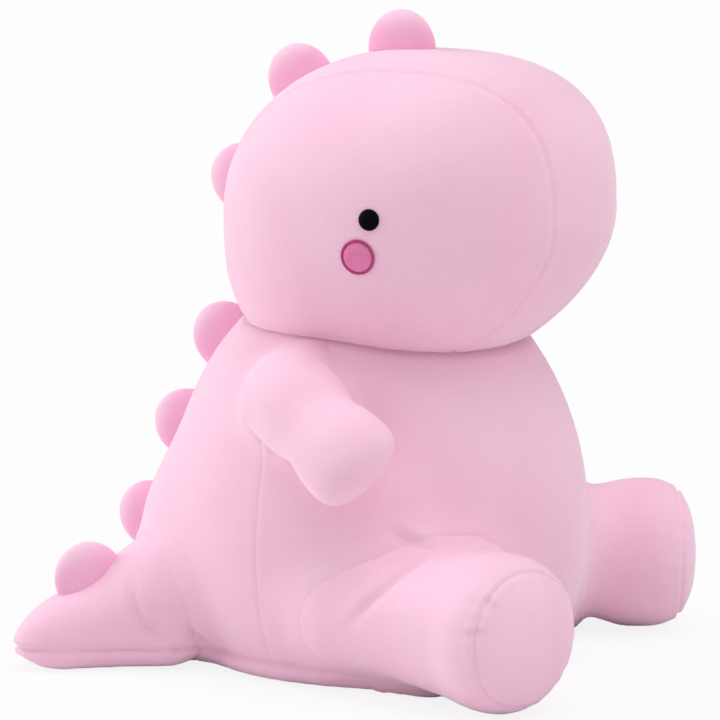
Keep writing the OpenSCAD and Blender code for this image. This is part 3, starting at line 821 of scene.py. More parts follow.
# The body's cover rises into a collar round each limb, then dives under the limb's own cover
trunk_points = swell(body_points, out, reach, trunk_field)
limb_rise = ((swell(body_points, out, reach) - trunk_points) * out).sum(1)
collar_rise = limb_rise * (1 - ease((limb_rise - COLLAR) / COLLAR_FALL))
body_points = above_floor(trunk_points + out * collar_rise[:, None], FLOOR_GAP)
base_tip = len(body_points)
body_points = np.concatenate([body_points, [FLOOR_GAP * UP, neck_top_z * UP]])
core_points = np.concatenate([core_points, [FLOOR_GAP * UP, (neck_top_z - BODY_CORE_INSET) * UP]])
core_points = above_floor(core_points, FLOOR_GAP + LIMB_CORE_INSET)
faces, places = tube_faces(body_rows, columns)
seam_columns = {
    "left": 0,
    "right": int(np.flatnonzero(np.isclose(column_angles, SIDE_SEAM))[0]),
    "spike": int(np.flatnonzero(np.isclose(column_angles, SPIKE_SEAM))[0]),
}
FRONT, BACK_RIGHT, BACK_LEFT, BASE = range(4)


def body_panel(row, column):
    if row < seam_row:
        return BASE
    if column < seam_columns["right"]:
        return FRONT
    return BACK_RIGHT if column < seam_columns["spike"] else BACK_LEFT


panels = [body_panel(row, column) for row, column in places]
faces += fan_faces(0, columns, base_tip)
panels += [BASE] * columns
faces += fan_faces(top_row * columns, columns, base_tip + 1)
panels += [body_panel(top_row, column) for column in range(columns)]
body_cover = new_cover("body_cover", body_points, faces, panels)
fillings = {"torso": new_cover("body_filling_fibre", core_points, faces)}

# The upright seams end some rows below the top of the neck, inside the head
SEAM_TOP_ROWS = 6


def closed_thread(ring):
    return thread(np.concatenate([ring, ring[:1]]))


body_seams = {"base": closed_thread(body_points[seam_row * columns:(seam_row + 1) * columns])}
for key, column in seam_columns.items():
    seam_rows = range(seam_row, body_rows - SEAM_TOP_ROWS)
    body_seams[key] = thread(body_points[[row * columns + column for row in seam_rows]])

# Neck seam, where the head's outline meets the round neck, found in degrees round and down the neck
NECK_SEAM_STEP = 2
NECK_SEAM_FINE = 0.25
NECK_SEAM_OFF = 0.5
neck_seam = []
for turn in np.radians(np.arange(0, 360 + NECK_SEAM_STEP, NECK_SEAM_STEP)):
    polar = np.radians(np.arange(0, 90, NECK_SEAM_FINE))
    out = [np.sin(polar) * math.sin(turn), -np.sin(polar) * math.cos(turn), np.cos(polar)]
    arc = neck_mid + (neck_r + NECK_SEAM_OFF) * np.stack(out, -1)
    neck_seam.append(arc[int(np.argmax(head_level(arc) > 0))])
neck_seam = thread(neck_seam)

# Head: two side panels laid out as discs and the gusset between them
HEAD_GRID = 38
GRID_CLOSING = 1.12
GUSSET_STOPS = (-1, -0.96, -0.9, 0.9, 0.96, 1)
GUSSET_ROWS = 9
seam_lift = head_lift_at(GUSSET_HALF)
seam_share = math.cos(seam_lift) ** (2 / CHEEK_POWER)
seam_polar = math.asin(seam_share)


def disc_place(u, v):
    """Radius and angle on a disc for a place on a square."""
    if abs(u) < TINY and abs(v) < TINY:
        return 0.0, 0.0
    if abs(u) >= abs(v):
        return (abs(u), math.pi / 4 * v / u + (math.pi if u < 0 else 0))
    return (abs(v), math.pi / 2 - math.pi / 4 * u / v + (math.pi if v < 0 else 0))


def grid_line(count):
    """Even places from -1 to 1, closed up towards both ends, where the seam is."""
    even = np.linspace(-1, 1, count + 1)
    return np.sign(even) * (1 - (1 - np.abs(even)) ** GRID_CLOSING)


line = grid_line(HEAD_GRID)
head_points = []
head_index = {}
for side in (-1, 1):
    for j, v in enumerate(line):
        for i, u in enumerate(line):
            radius, angle = disc_place(u, v)
            share = math.sin(radius * seam_polar)
            reach = share * float(head_reach(angle))
            x = side * HEAD_W / 2 * bulge(share, CHEEK_POWER)
            head_index[(side, i, j)] = len(head_points)
            head_points.append(head_mid + np.array([x, -reach * math.cos(angle), reach * math.sin(angle)]))
last = HEAD_GRID
border = [(i, 0) for i in range(last)] + [(last, j) for j in range(last)]
border += [(last - i, last) for i in range(last)] + [(0, last - j) for j in range(last)]
border_angles = [disc_place(line[i], line[j])[1] for i, j in border]
lifts = spaced([seam_lift * stop for stop in GUSSET_STOPS], seam_lift / GUSSET_ROWS)
strip = [[head_index[(-1, i, j)] for i, j in border]]
for lift in lifts[1:-1]:
    row = []
    for angle in border_angles:
        row.append(len(head_points))
        head_points.append(head_point(np.array(angle), np.array(lift)))
    strip.append(row)
strip.append([head_index[(1, i, j)] for i, j in border])
head_faces = []
head_panels = []
HEAD_RIGHT, HEAD_LEFT, GUSSET = range(3)
for side, panel in ((-1, HEAD_RIGHT), (1, HEAD_LEFT)):
    for j in range(last):
        for i in range(last):
            corners = [(i, j), (i + 1, j), (i + 1, j + 1), (i, j + 1)]
            head_faces.append(tuple(head_index[(side, a, b)] for a, b in corners))
            head_panels.append(panel)
for low, high in zip(strip, strip[1:]):
    for i in range(len(low)):
        k = (i + 1) % len(low)
        head_faces.append((low[i], low[k], high[k], high[i]))
        head_panels.append(GUSSET)
head_points = np.array(head_points)

head_cover = new_cover("head_cover", head_points, head_faces, head_panels)
head_seams = [closed_thread(head_points[row]) for row in (strip[0], strip[-1])]

# Limbs: steps along them, sides round them, and shares of the rounded ends, closer towards the tip
LIMB_STEP = 6
FOOT_STEP = 5
SOLE_STEP = 2
TAIL_STEP = 5.5
ARM_SIDES = 40
LEG_SIDES = 56
TAIL_OVER = 28
TAIL_UNDER = 20
ARM_CAP_SHARES = np.array([0.2, 0.38, 0.54, 0.67, 0.78, 0.87, 0.935, 0.975, 0.994])
SOLE_SHARES = np.array([0.965, 0.9, 0.8, 0.68, 0.55, 0.42, 0.28, 0.14])
TAIL_CAP_SHARES = np.array([0.16, 0.31, 0.45, 0.57, 0.68, 0.78, 0.86, 0.925, 0.965, 0.988])


def turns_of(sides):
    return np.arange(sides) * 2 * math.pi / sides


arm_rows = np.concatenate([spaced([ARM_ROOT_FROM, 0, ARM_L - ARM_CAP], LIMB_STEP),
                           ARM_L - ARM_CAP + ARM_CAP * ARM_CAP_SHARES])
leg_rows = np.concatenate([spaced([LEG_ROOT_FROM, FOOT_REACH], LIMB_STEP),
                           spaced([FOOT_REACH, sole_seam - FOOT_STEP], FOOT_STEP)[1:],
                           [sole_seam - SOLE_STEP, sole_seam]])
tail_rows = np.concatenate([spaced([TAIL_ROOT_FROM, TAIL_L - TAIL_CAP], TAIL_STEP),
                            TAIL_L - TAIL_CAP + TAIL_CAP * TAIL_CAP_SHARES])


def filling(name, points, faces, inset):
    """Fibre inside a closed form, clear of its cloth all round."""
    fibre = new_cover(name, points, faces)
    set_points(fibre, above_floor(points_of(fibre) - inset * normals_of(fibre), FLOOR_GAP + inset))
    return fibre


def as_drawn(points):
    return points


def limb_cover(limb, rings, along, root, tip, panel_of):
    """A closed limb whose root flows into the body."""
    count = len(rings[0])
    centres = np.stack([ring.mean(0) for ring in rings])
    points = np.concatenate(rings)
    out = unit(points - np.repeat(centres, count, axis=0))
    steps = np.repeat(along, count)
    kind = limb.split("_")[0]
    placed = {"arm_left": left_arm, "leg_left": mirrored}.get(limb, as_drawn)
    out = placed(points + out) - placed(points)
    points = placed(points)
    plain = points
    near_root = ease((ROOT_END[kind] - steps) / ROOT_FADE)
    swollen = swell(points, out, ROOT_REACH[kind] * near_root)
    points = tucked(points + (swollen - points) * near_root[:, None])
    hidden = trunk_field(points) < 0
    points[hidden, 2] = np.maximum(points[hidden, 2], FLOOR_GAP + ROOT_FLOOR)
    ends = placed(np.array([root, tip]))
    faces, places = tube_faces(len(rings), count)
    panels = [panel_of(row, column) for row, column in places]
    faces += fan_faces(0, count, len(points))
    panels += [panel_of(0, column) for column in range(count)]
    faces += fan_faces((len(rings) - 1) * count, count, len(points) + 1)
    panels += [panel_of(len(rings) - 1, column) for column in range(count)]
    points = above_floor(np.concatenate([points, ends]), FLOOR_GAP)
    fillings[limb] = filling(limb + "_filling_fibre", np.concatenate([plain, ends]), faces, LIMB_CORE_INSET)
    return new_cover(limb + "_shape", points, faces, panels), points


arm_shape = arm_rings(arm_rows, turns_of(ARM_SIDES))
leg_shape = leg_rings(leg_rows, turns_of(LEG_SIDES))
for r in SOLE_R * SOLE_SHARES:
    s = FOOT_REACH + FOOT_CAP * bulge(r / FOOT_R, SOLE_POWER)
    leg_shape.append(hip + s * leg_axis + r * circle(turns_of(LEG_SIDES), leg_cross, UP))
leg_along = np.concatenate([leg_rows, np.full(len(SOLE_SHARES), leg_l)])
sole_row = len(leg_rows) - 1
tail_shape = []
for s in tail_rows:
    edge = tail_seam_turn(s)
    over = np.linspace(-edge, math.pi + edge, TAIL_OVER + 1)
    under = np.linspace(math.pi + edge, 2 * math.pi - edge, TAIL_UNDER + 1)
    tail_shape.append(tail_ring(s, np.concatenate([over[:-1], under[:-1]])))

TOP_COVER, UNDER_COVER = range(2)


def arm_panel(row, column):
    return TOP_COVER


def leg_panel(row, column):
    return UNDER_COVER if row >= sole_row else TOP_COVER


def tail_panel(row, column):
    return UNDER_COVER if column >= TAIL_OVER else TOP_COVER


arm_ends = arm_centre(np.array([ARM_ROOT_FROM, ARM_L], float))
leg_ends = [hip + LEG_ROOT_FROM * leg_axis, hip + leg_l * leg_axis]
tail_ends = tail_centre([TAIL_ROOT_FROM, TAIL_L])
limb_plans = {limb: (arm_shape, arm_rows, *arm_ends, arm_panel) for limb in ARMS}
limb_plans.update({limb: (leg_shape, leg_along, *leg_ends, leg_panel) for limb in LEGS})
limb_plans["tail"] = (tail_shape, tail_rows, *tail_ends, tail_panel)
covers = {}
cover_points = {}
for limb, plan in limb_plans.items():
    covers[limb], cover_points[limb] = limb_cover(limb, *plan)

# Seams of the soles and of the panel under the tail
limb_seams = {}
for limb in LEGS:
    limb_seams[limb] = closed_thread(cover_points[limb][sole_row * LEG_SIDES:(sole_row + 1) * LEG_SIDES])
tail_seam_starts = (TAIL_OVER + TAIL_UNDER) * np.arange(len(tail_rows))
tail_seam_indices = np.concatenate([tail_seam_starts, tail_seam_starts[::-1] + TAIL_OVER])
limb_seams["tail"] = thread(cover_points["tail"][tail_seam_indices])

eye_point = face_point(EYE_FWD, EYE_UP)
eye_normal = face_normal(EYE_FWD, EYE_UP)
blush_point = face_point(CHEEK_FWD, CHEEK_UP)
blush_normal = face_normal(CHEEK_FWD, CHEEK_UP)


# Stuffing: seams, laps and resting places are held, up to a distance from them and fading over another
BODY_SEAM_HOLD = 5
LIMB_SEAM_HOLD = 4
SEAM_HOLD_REACH = 1.6
LIMB_LAP_HOLD = (16, 10)
RISE_HOLD = 6
BODY_FLOOR_HOLD = (12, 8)
LIMB_FLOOR_HOLD = (10, 8)
HEAD_JOIN_HOLD = 10
FACE_HOLD = (26, 10)
NECK_HOLD = (6, 4)
LIMB_ROOT_HOLD = (40, 14)
COLLAR_HOLD = (2.5 * COLLAR, COLLAR)


def held(gaps, limits):
    """Weight of a hold, full where the gap is small and none beyond the first limit."""
    return ease((limits[0] - gaps) / limits[1])


def held_near(points, lines, width):
    weight = np.zeros(len(points))
    for seam in lines:
        weight = np.maximum(weight, ease(SEAM_HOLD_REACH - beside(points, seam)[0] / width))
    return weight


def body_hold():
    holds = [held_near(body_points, [*body_seams.values(), neck_seam], BODY_SEAM_HOLD)]
    holds += [held(limb_field(body_points, limb)[0], LIMB_LAP_HOLD) for limb in LIMBS]
    holds.append(ease(np.append(limb_rise, [0, 0]) / RISE_HOLD))
    holds.append(held(body_points[:, 2], BODY_FLOOR_HOLD))
    holds.append(ease(1 - HEAD_JOIN_HOLD * head_level(body_points)))
    return np.max(holds, axis=0)


def head_hold():
    holds = [held_near(head_points, [*head_seams, neck_seam], BODY_SEAM_HOLD)]
    for centre in (eye_point, blush_point, mirrored(eye_point), mirrored(blush_point)):
        holds.append(held(np.linalg.norm(head_points - centre, axis=1), FACE_HOLD))
    holds.append(held(np.linalg.norm(head_points - neck_mid, axis=1) - neck_r, NECK_HOLD))
    return np.max(holds, axis=0)


def limb_hold(limb):
    shape = cover_points[limb]
    lines = [limb_seams[limb]] if limb in limb_seams else []
    holds = [held_near(shape, lines, LIMB_SEAM_HOLD)]
    holds.append(held(limb_field(shape, limb)[1], LIMB_ROOT_HOLD))
    holds.append(held(trunk_field(shape), COLLAR_HOLD))
    holds.append(held(shape[:, 2], LIMB_FLOOR_HOLD))
    return np.max(holds, axis=0)


stuff([(body_cover, body_hold()), (head_cover, head_hold())]
      + [(covers[limb], limb_hold(limb)) for limb in covers])


# Seams, puckers and folds, on the refined covers
for cover in [body_cover, head_cover] + list(covers.values()):
    refine(cover)

# Folds where the limbs pull at the body: from one angle and height of the torso over others to the last,
# then the depth, the width and the roll beside the fold
BODY_FOLDS = {
    "tail_upper": ([(135, 80), (130, 50), (130, 20)], 3.2, 3.6, 2.0),
    "tail_middle": ([(127, 50), (125, 30), (125, 15)], 3.4, 2.4, 2.2),
    "tail_lower": ([(120, 30), (115, 15)], 2.2, 2.0, 1.4),
    "thigh_upper": ([(65, 130), (58, 118), (50, 113)], 3.4, 3.4, 2.2),
    "thigh_short": ([(62, 128), (54, 118)], 2.0, 2.2, 1.3),
    "thigh_side": ([(75, 55), (65, 90), (50, 112)], 2.8, 4.0, 0.9),
    "arm_front": ([(90, 260), (78, 230)], 1.8, 3.0, 0.6),
}

# Puckers across the sole seam: from one place along the leg and angle round it to another
SOLE_FOLDS = {
    "sole_lower": ([(96, 12), (110, 18)], 1.6, 2.0, 1.0),
    "sole_upper": ([(96, 46), (110, 40)], 1.6, 2.0, 1.0),
}
MIRRORED_FOLDS = ("thigh_upper", "thigh_short", "thigh_side", "sole_lower", "sole_upper")
LAYING_ROUNDS = 12
LAYING_PACE = 0.8


def laid_on(points):
    """A line of points drawn onto the body."""
    line, along = thread(points)
    for _ in range(LAYING_ROUNDS):
        line = line - LAYING_PACE * body_field(line)[:, None] * field_normal(line, body_field)
    return line, along


def body_fold(places):
    angles, heights = np.array(places, float).T
    return laid_on(swell(torso_point(heights, angles), torso_normal(heights, angles), BODY_REACH))


def sole_fold(places):
    along, turns = np.array(places, float).T
    out = circle(np.radians(turns), leg_cross, UP)
    return thread(hip + along[:, None] * leg_axis + leg_radius(along)[:, None] * out)


folds = {name: (body_fold(places), *form) for name, (places, *form) in BODY_FOLDS.items()}
folds.update({name: (sole_fold(places), *form) for name, (places, *form) in SOLE_FOLDS.items()})
for name in MIRRORED_FOLDS:
    (line, along), depth, width, lip = folds[name]
    folds[name + "_left"] = ((mirrored(line), along), depth, width, lip)


def sew(cover, seams):
    """Sews each seam into a cover, by its line and its form."""
    shape = points_of(cover)
    out = normals_of(cover)
    for line, form in seams:
        shape = sewn(shape, out, line, *form)
    set_points(cover, shape)


def fold(cover):
    shape = points_of(cover)
    out = normals_of(cover)
    for line, depth, width, lip in folds.values():
        shape = creased(shape, out, line, depth, width, lip)
    set_points(cover, above_floor(shape, FLOOR_GAP / 2))


# Form of each seam: its depth, its width, the height of its puckers and their pitch
BODY_SEAM_FORMS = {
    "left": (0.35, 1.7, 0.06, 13),
    "right": (0.35, 1.7, 0.06, 13),
    "spike": (0.35, 1.7, 0.06, 13),
    "base": (1.7, 2.2, 0.35, 17),
}
BODY_NECK_FORM = (1.6, 3.2, 0.1, 19)
GUSSET_FORM = (1.5, 1.9, 0.15, 16)
HEAD_NECK_FORM = (1.2, 3.0, 0.15, 21)
LIMB_SEAM_FORMS = {
    "leg_right": (1.6, 1.6, 0.35, 12),
    "leg_left": (1.6, 1.6, 0.35, 12),
    "tail": (2.2, 2.0, 0.4, 17),
}
sewing = [(body_seams[key], form) for key, form in BODY_SEAM_FORMS.items()]
sew(body_cover, sewing + [(neck_seam, BODY_NECK_FORM)])
sewing = [(seam, GUSSET_FORM) for seam in head_seams]
sew(head_cover, sewing + [(neck_seam, HEAD_NECK_FORM)])
for limb, form in LIMB_SEAM_FORMS.items():
    sew(covers[limb], [(limb_seams[limb], form)])
for cover in [body_cover] + list(covers.values()):
    fold(cover)

# The underside of the head is a cup round the neck, with a soft rim
NECK_CLEARANCE = 0.6
RIM_ROUND = 4.0
RIM_SPREAD = 4 * RIM_ROUND
THIN_RIM = 14.0


def cupped(points):
    from_neck = points - neck_mid
    apart = np.linalg.norm(from_neck, axis=1)
    clear = apart - neck_r - NECK_CLEARANCE
    lifted = (clear + np.sqrt(clear ** 2 + RIM_ROUND ** 2)) / 2
    lifted = np.where(clear < RIM_SPREAD, lifted - RIM_ROUND / 2 * ease(-clear / RIM_ROUND), clear)
    reach = neck_r + NECK_CLEARANCE + np.maximum(lifted, 0)
    return neck_mid + from_neck / apart[:, None] * reach[:, None]


def drawn_up(points, clearance):
    """Points inside the neck moved towards the middle of the head until they are clear of it."""
    toward = head_mid - points
    from_neck = points - neck_mid
    long = (toward ** 2).sum(1)
    rise = (from_neck * toward).sum(1)
    depth = (from_neck ** 2).sum(1) - (neck_r + clearance) ** 2
    share = (np.sqrt(np.maximum(0, rise ** 2 - long * depth)) - rise) / long
    return points + toward * np.where(depth < 0, share, 0)[:, None]


head_before = points_of(head_cover)
set_points(head_cover, cupped(head_before))
wedge = np.linalg.norm(head_before - neck_mid, axis=1) - neck_r
wedge = np.maximum(wedge, -head_level(head_before) * HEAD_H / 2)
thinned = head_cover.vertex_groups.new(name="thickness")
for index, weight in enumerate(ease(wedge / THIN_RIM)):
    thinned.add([index], float(weight), "REPLACE")
fillings["head"] = filling("head_filling_fibre", head_points, head_faces, BODY_CORE_INSET)
set_points(fillings["head"], drawn_up(points_of(fillings["head"]), BODY_CORE_INSET))


THIN_SHARE = 0.1
SHARP_ANGLE = math.radians(55)


def cut_panel(cover, panel, name):
    """One panel of a cover, as a sheet of cloth with its own thickness."""
    sheet = bmesh.new()
    sheet.from_mesh(cover.data)
    away = [face for face in sheet.faces if face.material_index != panel]
    bmesh.ops.delete(sheet, geom=away, context="FACES")
    for face in sheet.faces:
        face.material_index = 0
    mesh = bpy.data.meshes.new(name)
    sheet.to_mesh(mesh)
    sheet.free()
    mesh.materials.clear()
    piece = in_scene(name, mesh)
    for group in cover.vertex_groups:
        piece.vertex_groups.new(name=group.name)
    thick = piece.modifiers.new("Cloth", "SOLIDIFY")
    thick.thickness = FABRIC_T * MM
    thick.offset = -1
    thick.use_quality_normals = True
    thick.vertex_group = "thickness" if cover.vertex_groups else ""
    thick.thickness_vertex_group = THIN_SHARE
    mesh = evaluated_mesh(piece)
    piece.modifiers.clear()
    piece.vertex_groups.clear()
    piece.data = mesh
    mesh.shade_smooth()
    mesh.set_sharp_from_angle(angle=SHARP_ANGLE)
    return piece


PANELS = {
    "body_front_panel": (body_cover, FRONT, "torso", "body_front"),
    "body_back_right_panel": (body_cover, BACK_RIGHT, "torso", "body_back_right"),
    "body_back_left_panel": (body_cover, BACK_LEFT, "torso", "body_back_left"),
    "base_panel_cloth": (body_cover, BASE, "torso", "base_panel"),
    "head_side_right_panel": (head_cover, HEAD_RIGHT, "head", "head_side_right"),
    "head_side_left_panel": (head_cover, HEAD_LEFT, "head", "head_side_left"),
    "head_gusset_panel": (head_cover, GUSSET, "head", "head_gusset"),
}
UNDER_NAMES = {"leg_right": "leg_right_sole", "leg_left": "leg_left_sole", "tail": "tail_base"}
for limb, cover in covers.items():
    PANELS[limb + "_cloth"] = (cover, TOP_COVER, limb, limb + "_cover")
    if limb in UNDER_NAMES:
        PANELS[UNDER_NAMES[limb] + "_cloth"] = (cover, UNDER_COVER, limb, UNDER_NAMES[limb])


def metres(point):
    return tuple(float(value) * MM for value in point)


def carried(piece, body):
    """A torso piece rides on the torso; a limb's piece, shaped to flow out of it, has its transform baked
    into its mesh.
    """
    if body == "torso":
        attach(piece, "torso")
    else:
        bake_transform(piece)


# Finishes
def srgb(red, green, blue):
    """A colour in linear light, by the curve of the sRGB standard."""
    def linear(value):
        value = value / 255
        return value / 12.92 if value <= 0.04045 else ((value + 0.055) / 1.055) ** 2.4
    return (linear(red), linear(green), linear(blue), 1)


def add(tree, kind, x, y, values=None, **settings):
    """A node at a place of its tree, with its settings and the values of its inputs."""
    node = tree.nodes.new(kind)
    node.location = (x, y)
    for setting, value in settings.items():
        setattr(node, setting, value)
    for socket, value in (values or {}).items():
        node.inputs[socket].default_value = value
    return node


def wire(tree, *links):
    """Joins nodes: each link is a node and its output, then a node and its input."""
    for source, output, target, socket in links:
        tree.links.new(source.outputs[output], target.inputs[socket])


def blank_tree(owner):
    """The emptied node tree of a material or a world."""
    owner.use_nodes = True
    owner.node_tree.nodes.clear()
    return owner.node_tree


def new_surface(name, values):
    """A material, its node tree and its shader."""
    material = bpy.data.materials.new(name)
    tree = blank_tree(material)
    output = add(tree, "ShaderNodeOutputMaterial", 600, 0)
    surface = add(tree, "ShaderNodeBsdfPrincipled", 300, 0, values)
    wire(tree, (surface, "BSDF", output, "Surface"))
    return material, tree, surface


PILE_SOCKETS = {
    "INPUT": {"Lying pile": "Color", "Raised pile": "Color", "Patch size": "Float", "Fibre size": "Float"},
    "OUTPUT": {"Colour": "Color", "Roughness": "Float", "Height": "Float"},
}
FIBRE_SHARE = 0.5
TIP_SHARE = 0.3
PATCH_SHARE = 0.6


def nap_group():
    """Short pile: cloudy brushed patches, fine fibre tips and the height of the pile."""
    group = bpy.data.node_groups.new("Short pile", "ShaderNodeTree")
    for side, sockets in PILE_SOCKETS.items():
        for name, kind in sockets.items():
            group.interface.new_socket(name, in_out=side, socket_type="NodeSocket" + kind)
    inputs = add(group, "NodeGroupInput", -900, 0)
    outputs = add(group, "NodeGroupOutput", 700, 0)
    place = add(group, "ShaderNodeTexCoord", -900, -300)
    patches = add(group, "ShaderNodeTexNoise", -600, 200, {"Detail": 3, "Distortion": 0.6})
    fibres = add(group, "ShaderNodeTexNoise", -600, -100, {"Detail": 4, "Roughness": 0.65})
    strands = add(group, "ShaderNodeTexVoronoi", -600, -400)
    clouds = add(group, "ShaderNodeMapRange", -380, 200, {"From Min": 0.32, "From Max": 0.68})
    tips = add(group, "ShaderNodeMath", -380, -100, {1: FIBRE_SHARE}, operation="MULTIPLY_ADD")
    patch_share = add(group, "ShaderNodeMath", -160, 280, {1: PATCH_SHARE}, operation="MULTIPLY")
    share = add(group, "ShaderNodeMath", -160, 120, {1: TIP_SHARE}, operation="MULTIPLY_ADD")
    colour = add(group, "ShaderNodeMix", 120, 150, data_type="RGBA")
    rough = add(group, "ShaderNodeMapRange", 120, -120, {"To Min": 0.82, "To Max": 0.96})
    for texture, size in ((patches, "Patch size"), (fibres, "Fibre size"), (strands, "Fibre size")):
        wire(group, (place, "Object", texture, "Vector"), (inputs, size, texture, "Scale"))
    wire(group, (patches, "Fac", clouds, "Value"), (clouds, "Result", patch_share, 0))
    wire(group, (fibres, "Fac", tips, 0), (strands, "Distance", tips, 2))
    wire(group, (tips, "Value", share, 0), (patch_share, "Value", share, 2))
    wire(group, (share, "Value", colour, "Factor"), (clouds, "Result", rough, "Value"))
    wire(group, (inputs, "Lying pile", colour, "A"), (inputs, "Raised pile", colour, "B"))
    wire(group, (colour, "Result", outputs, "Colour"), (rough, "Result", outputs, "Roughness"))
    wire(group, (tips, "Value", outputs, "Height"))
    return group


short_pile = nap_group()
# Attribute that paints a highlight on the spikes, paler towards their tips
PAINTED_HIGHLIGHT_ATTRIBUTE = "painted_highlight_share"
PILE_HEIGHT = 0.0006
PILE_SHINE = 0.12
SHEEN_ROUGHNESS = 0.45
SHEEN_TINT = (1, 0.97, 0.99, 1)


def pile_material(name, lying, raised, patch, fibre, bump, sheen, painted_highlight=None):
    """Short pile in two shades; with a colour of painted highlight it fades to that along the attribute of
    the painted highlight.
    """
    material, tree, surface = new_surface(name, {
        "Specular IOR Level": PILE_SHINE, "Sheen Weight": sheen, "Sheen Roughness": SHEEN_ROUGHNESS,
        "Sheen Tint": SHEEN_TINT})
    look = {"Lying pile": lying, "Raised pile": raised, "Patch size": patch, "Fibre size": fibre}
    pile = add(tree, "ShaderNodeGroup", -200, 0, look, node_tree=short_pile)
    relief = add(tree, "ShaderNodeBump", 60, -250, {"Strength": bump, "Distance": PILE_HEIGHT})
    # Painted highlight: the pile's colour fades to a paler one by the share in the attribute
    if painted_highlight:
        painted_highlight_share = add(tree, "ShaderNodeAttribute", -200, 300, attribute_name=PAINTED_HIGHLIGHT_ATTRIBUTE)
        fade = add(tree, "ShaderNodeMix", 60, 200, {"B": painted_highlight}, data_type="RGBA")
        wire(tree, (painted_highlight_share, "Fac", fade, "Factor"), (pile, "Colour", fade, "A"))
        wire(tree, (fade, "Result", surface, "Base Color"))
    else:
        wire(tree, (pile, "Colour", surface, "Base Color"))
    wire(tree, (pile, "Roughness", surface, "Roughness"), (pile, "Height", relief, "Height"))
    wire(tree, (relief, "Normal", surface, "Normal"))
    return material


pink_plush = pile_material(
    "pink_plush", srgb(248, 200, 223), srgb(253, 215, 234), patch=9, fibre=900, bump=0.25, sheen=0.6)
# Spike fabric with a painted highlight towards the tip; its deeper pink, left at the root, reads as painted
# shade there
spike_fabric = pile_material(
    "spike_fabric", srgb(250, 180, 215), srgb(254, 198, 227), patch=14, fibre=900, bump=0.25, sheen=0.4,
    painted_highlight=srgb(254, 226, 240))
cheek_fabric = pile_material(
    "cheek_fabric", srgb(224, 122, 172), srgb(238, 150, 192), patch=60, fibre=700, bump=0.5, sheen=0.1)
# Dark thread of the cheek rings, partly its own colour and partly painted shade of the groove round each
# patch
cheek_thread = pile_material(
    "cheek_thread", srgb(176, 66, 116), srgb(196, 86, 136), patch=80, fibre=700, bump=0.5, sheen=0.05)
stuffing = pile_material(
    "stuffing", srgb(236, 236, 232), srgb(250, 250, 247), patch=30, fibre=260, bump=0.8, sheen=0.1)


def plastic_material(name, colour, low, high, fine, shine):
    """Moulded plastic with a slight haze, between a low and a high roughness."""
    material, tree, surface = new_surface(name, {"Base Color": colour, "Specular IOR Level": shine})
    place = add(tree, "ShaderNodeTexCoord", -500, 0)
    haze = add(tree, "ShaderNodeTexNoise", -300, 0, {"Scale": fine, "Detail": 4})
    rough = add(tree, "ShaderNodeMapRange", -60, 0, {"To Min": low, "To Max": high})
    wire(tree, (place, "Object", haze, "Vector"), (haze, "Fac", rough, "Value"))
    wire(tree, (rough, "Result", surface, "Roughness"))
    return material


eye_plastic = plastic_material("eye_plastic", srgb(6, 6, 9), low=0.4, high=0.55, fine=300, shine=0.03)
washer_plastic = plastic_material(
    "washer_plastic", srgb(222, 222, 224), low=0.4, high=0.6, fine=200, shine=0.5)


def finished(piece, material, node=None):
    """A piece in its finish, with the node that it stands for."""
    piece.data.materials.clear()
    piece.data.materials.append(material)
    if node:
        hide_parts(node)


for name, (cover, panel, body, node) in PANELS.items():
    piece = cut_panel(cover, panel, name)
    finished(piece, pink_plush, node)
    carried(piece, body)
for body, piece in fillings.items():
    finished(piece, stuffing, piece.name.removesuffix("_fibre"))
    carried(piece, body)
for cover in [body_cover, head_cover] + list(covers.values()):
    bpy.data.objects.remove(cover)


# Spikes: two round faces sewn along the rim
SPIKE_SINK = 6.0
SPIKE_POWER = 2.2
SPIKE_CORE_INSET = 2.6
SPIKE_ROUND = 40
SPIKE_HALF_STEPS = [0.25, 0.5, 0.7, 0.84, 0.93, 0.985, 1]
SPIKE_STEPS = [-step for step in reversed(SPIKE_HALF_STEPS)] + [0] + SPIKE_HALF_STEPS
SPIKE_WELD = 0.02
SPIKE_FILLINGS = {"head": "head_spike_filling", "torso": "back_spike_filling", "tail": "tail_spike_filling"}

# The painted highlight, paler towards the spike's tip: from a share of the spike's height, over another
# share, up to its strength
HIGHLIGHT_FROM = 0.3
HIGHLIGHT_SPAN = 0.75
HIGHLIGHT_STRENGTH = 0.7


def stood(points, place, normal, along):
    """Local points with Z along a direction and X as near as can be to another."""
    z = unit(normal)
    x = unit(along - z * (along @ z))
    y = np.cross(z, x)
    return place + points[:, :1] * x + points[:, 1:2] * y + points[:, 2:] * z


def spike_shape(inset):
    """Rings over the spike, from one face over the rim to the other."""
    turns = np.linspace(0, math.pi, SPIKE_ROUND + 1)
    rings = []
    for across in SPIKE_STEPS:
        share = bulge(abs(across), SPIKE_POWER)
        x = (SPIKE_W / 2 - inset) * share * np.cos(turns)
        z = (SPIKE_H - inset) * share * np.sin(turns)
        y = np.full(len(turns), across * (SPIKE_T / 2 - inset))
        foot = [[x[-1], y[0], -SPIKE_SINK], [x[0], y[0], -SPIKE_SINK]]
        rings.append(np.concatenate([np.stack([x, y, z], -1), foot]))
    return rings


def spike_piece(name, place, normal, along, inset):
    rings = spike_shape(inset)
    count = len(rings[0])
    faces, _ = tube_faces(len(rings), count)
    faces.append(tuple(range(count)))
    faces.append(tuple(reversed(range((len(rings) - 1) * count, len(rings) * count))))
    piece = new_cover(name, stood(np.concatenate(rings), place, normal, along), faces)
    face_out(piece.data, SPIKE_WELD * MM)
    return piece


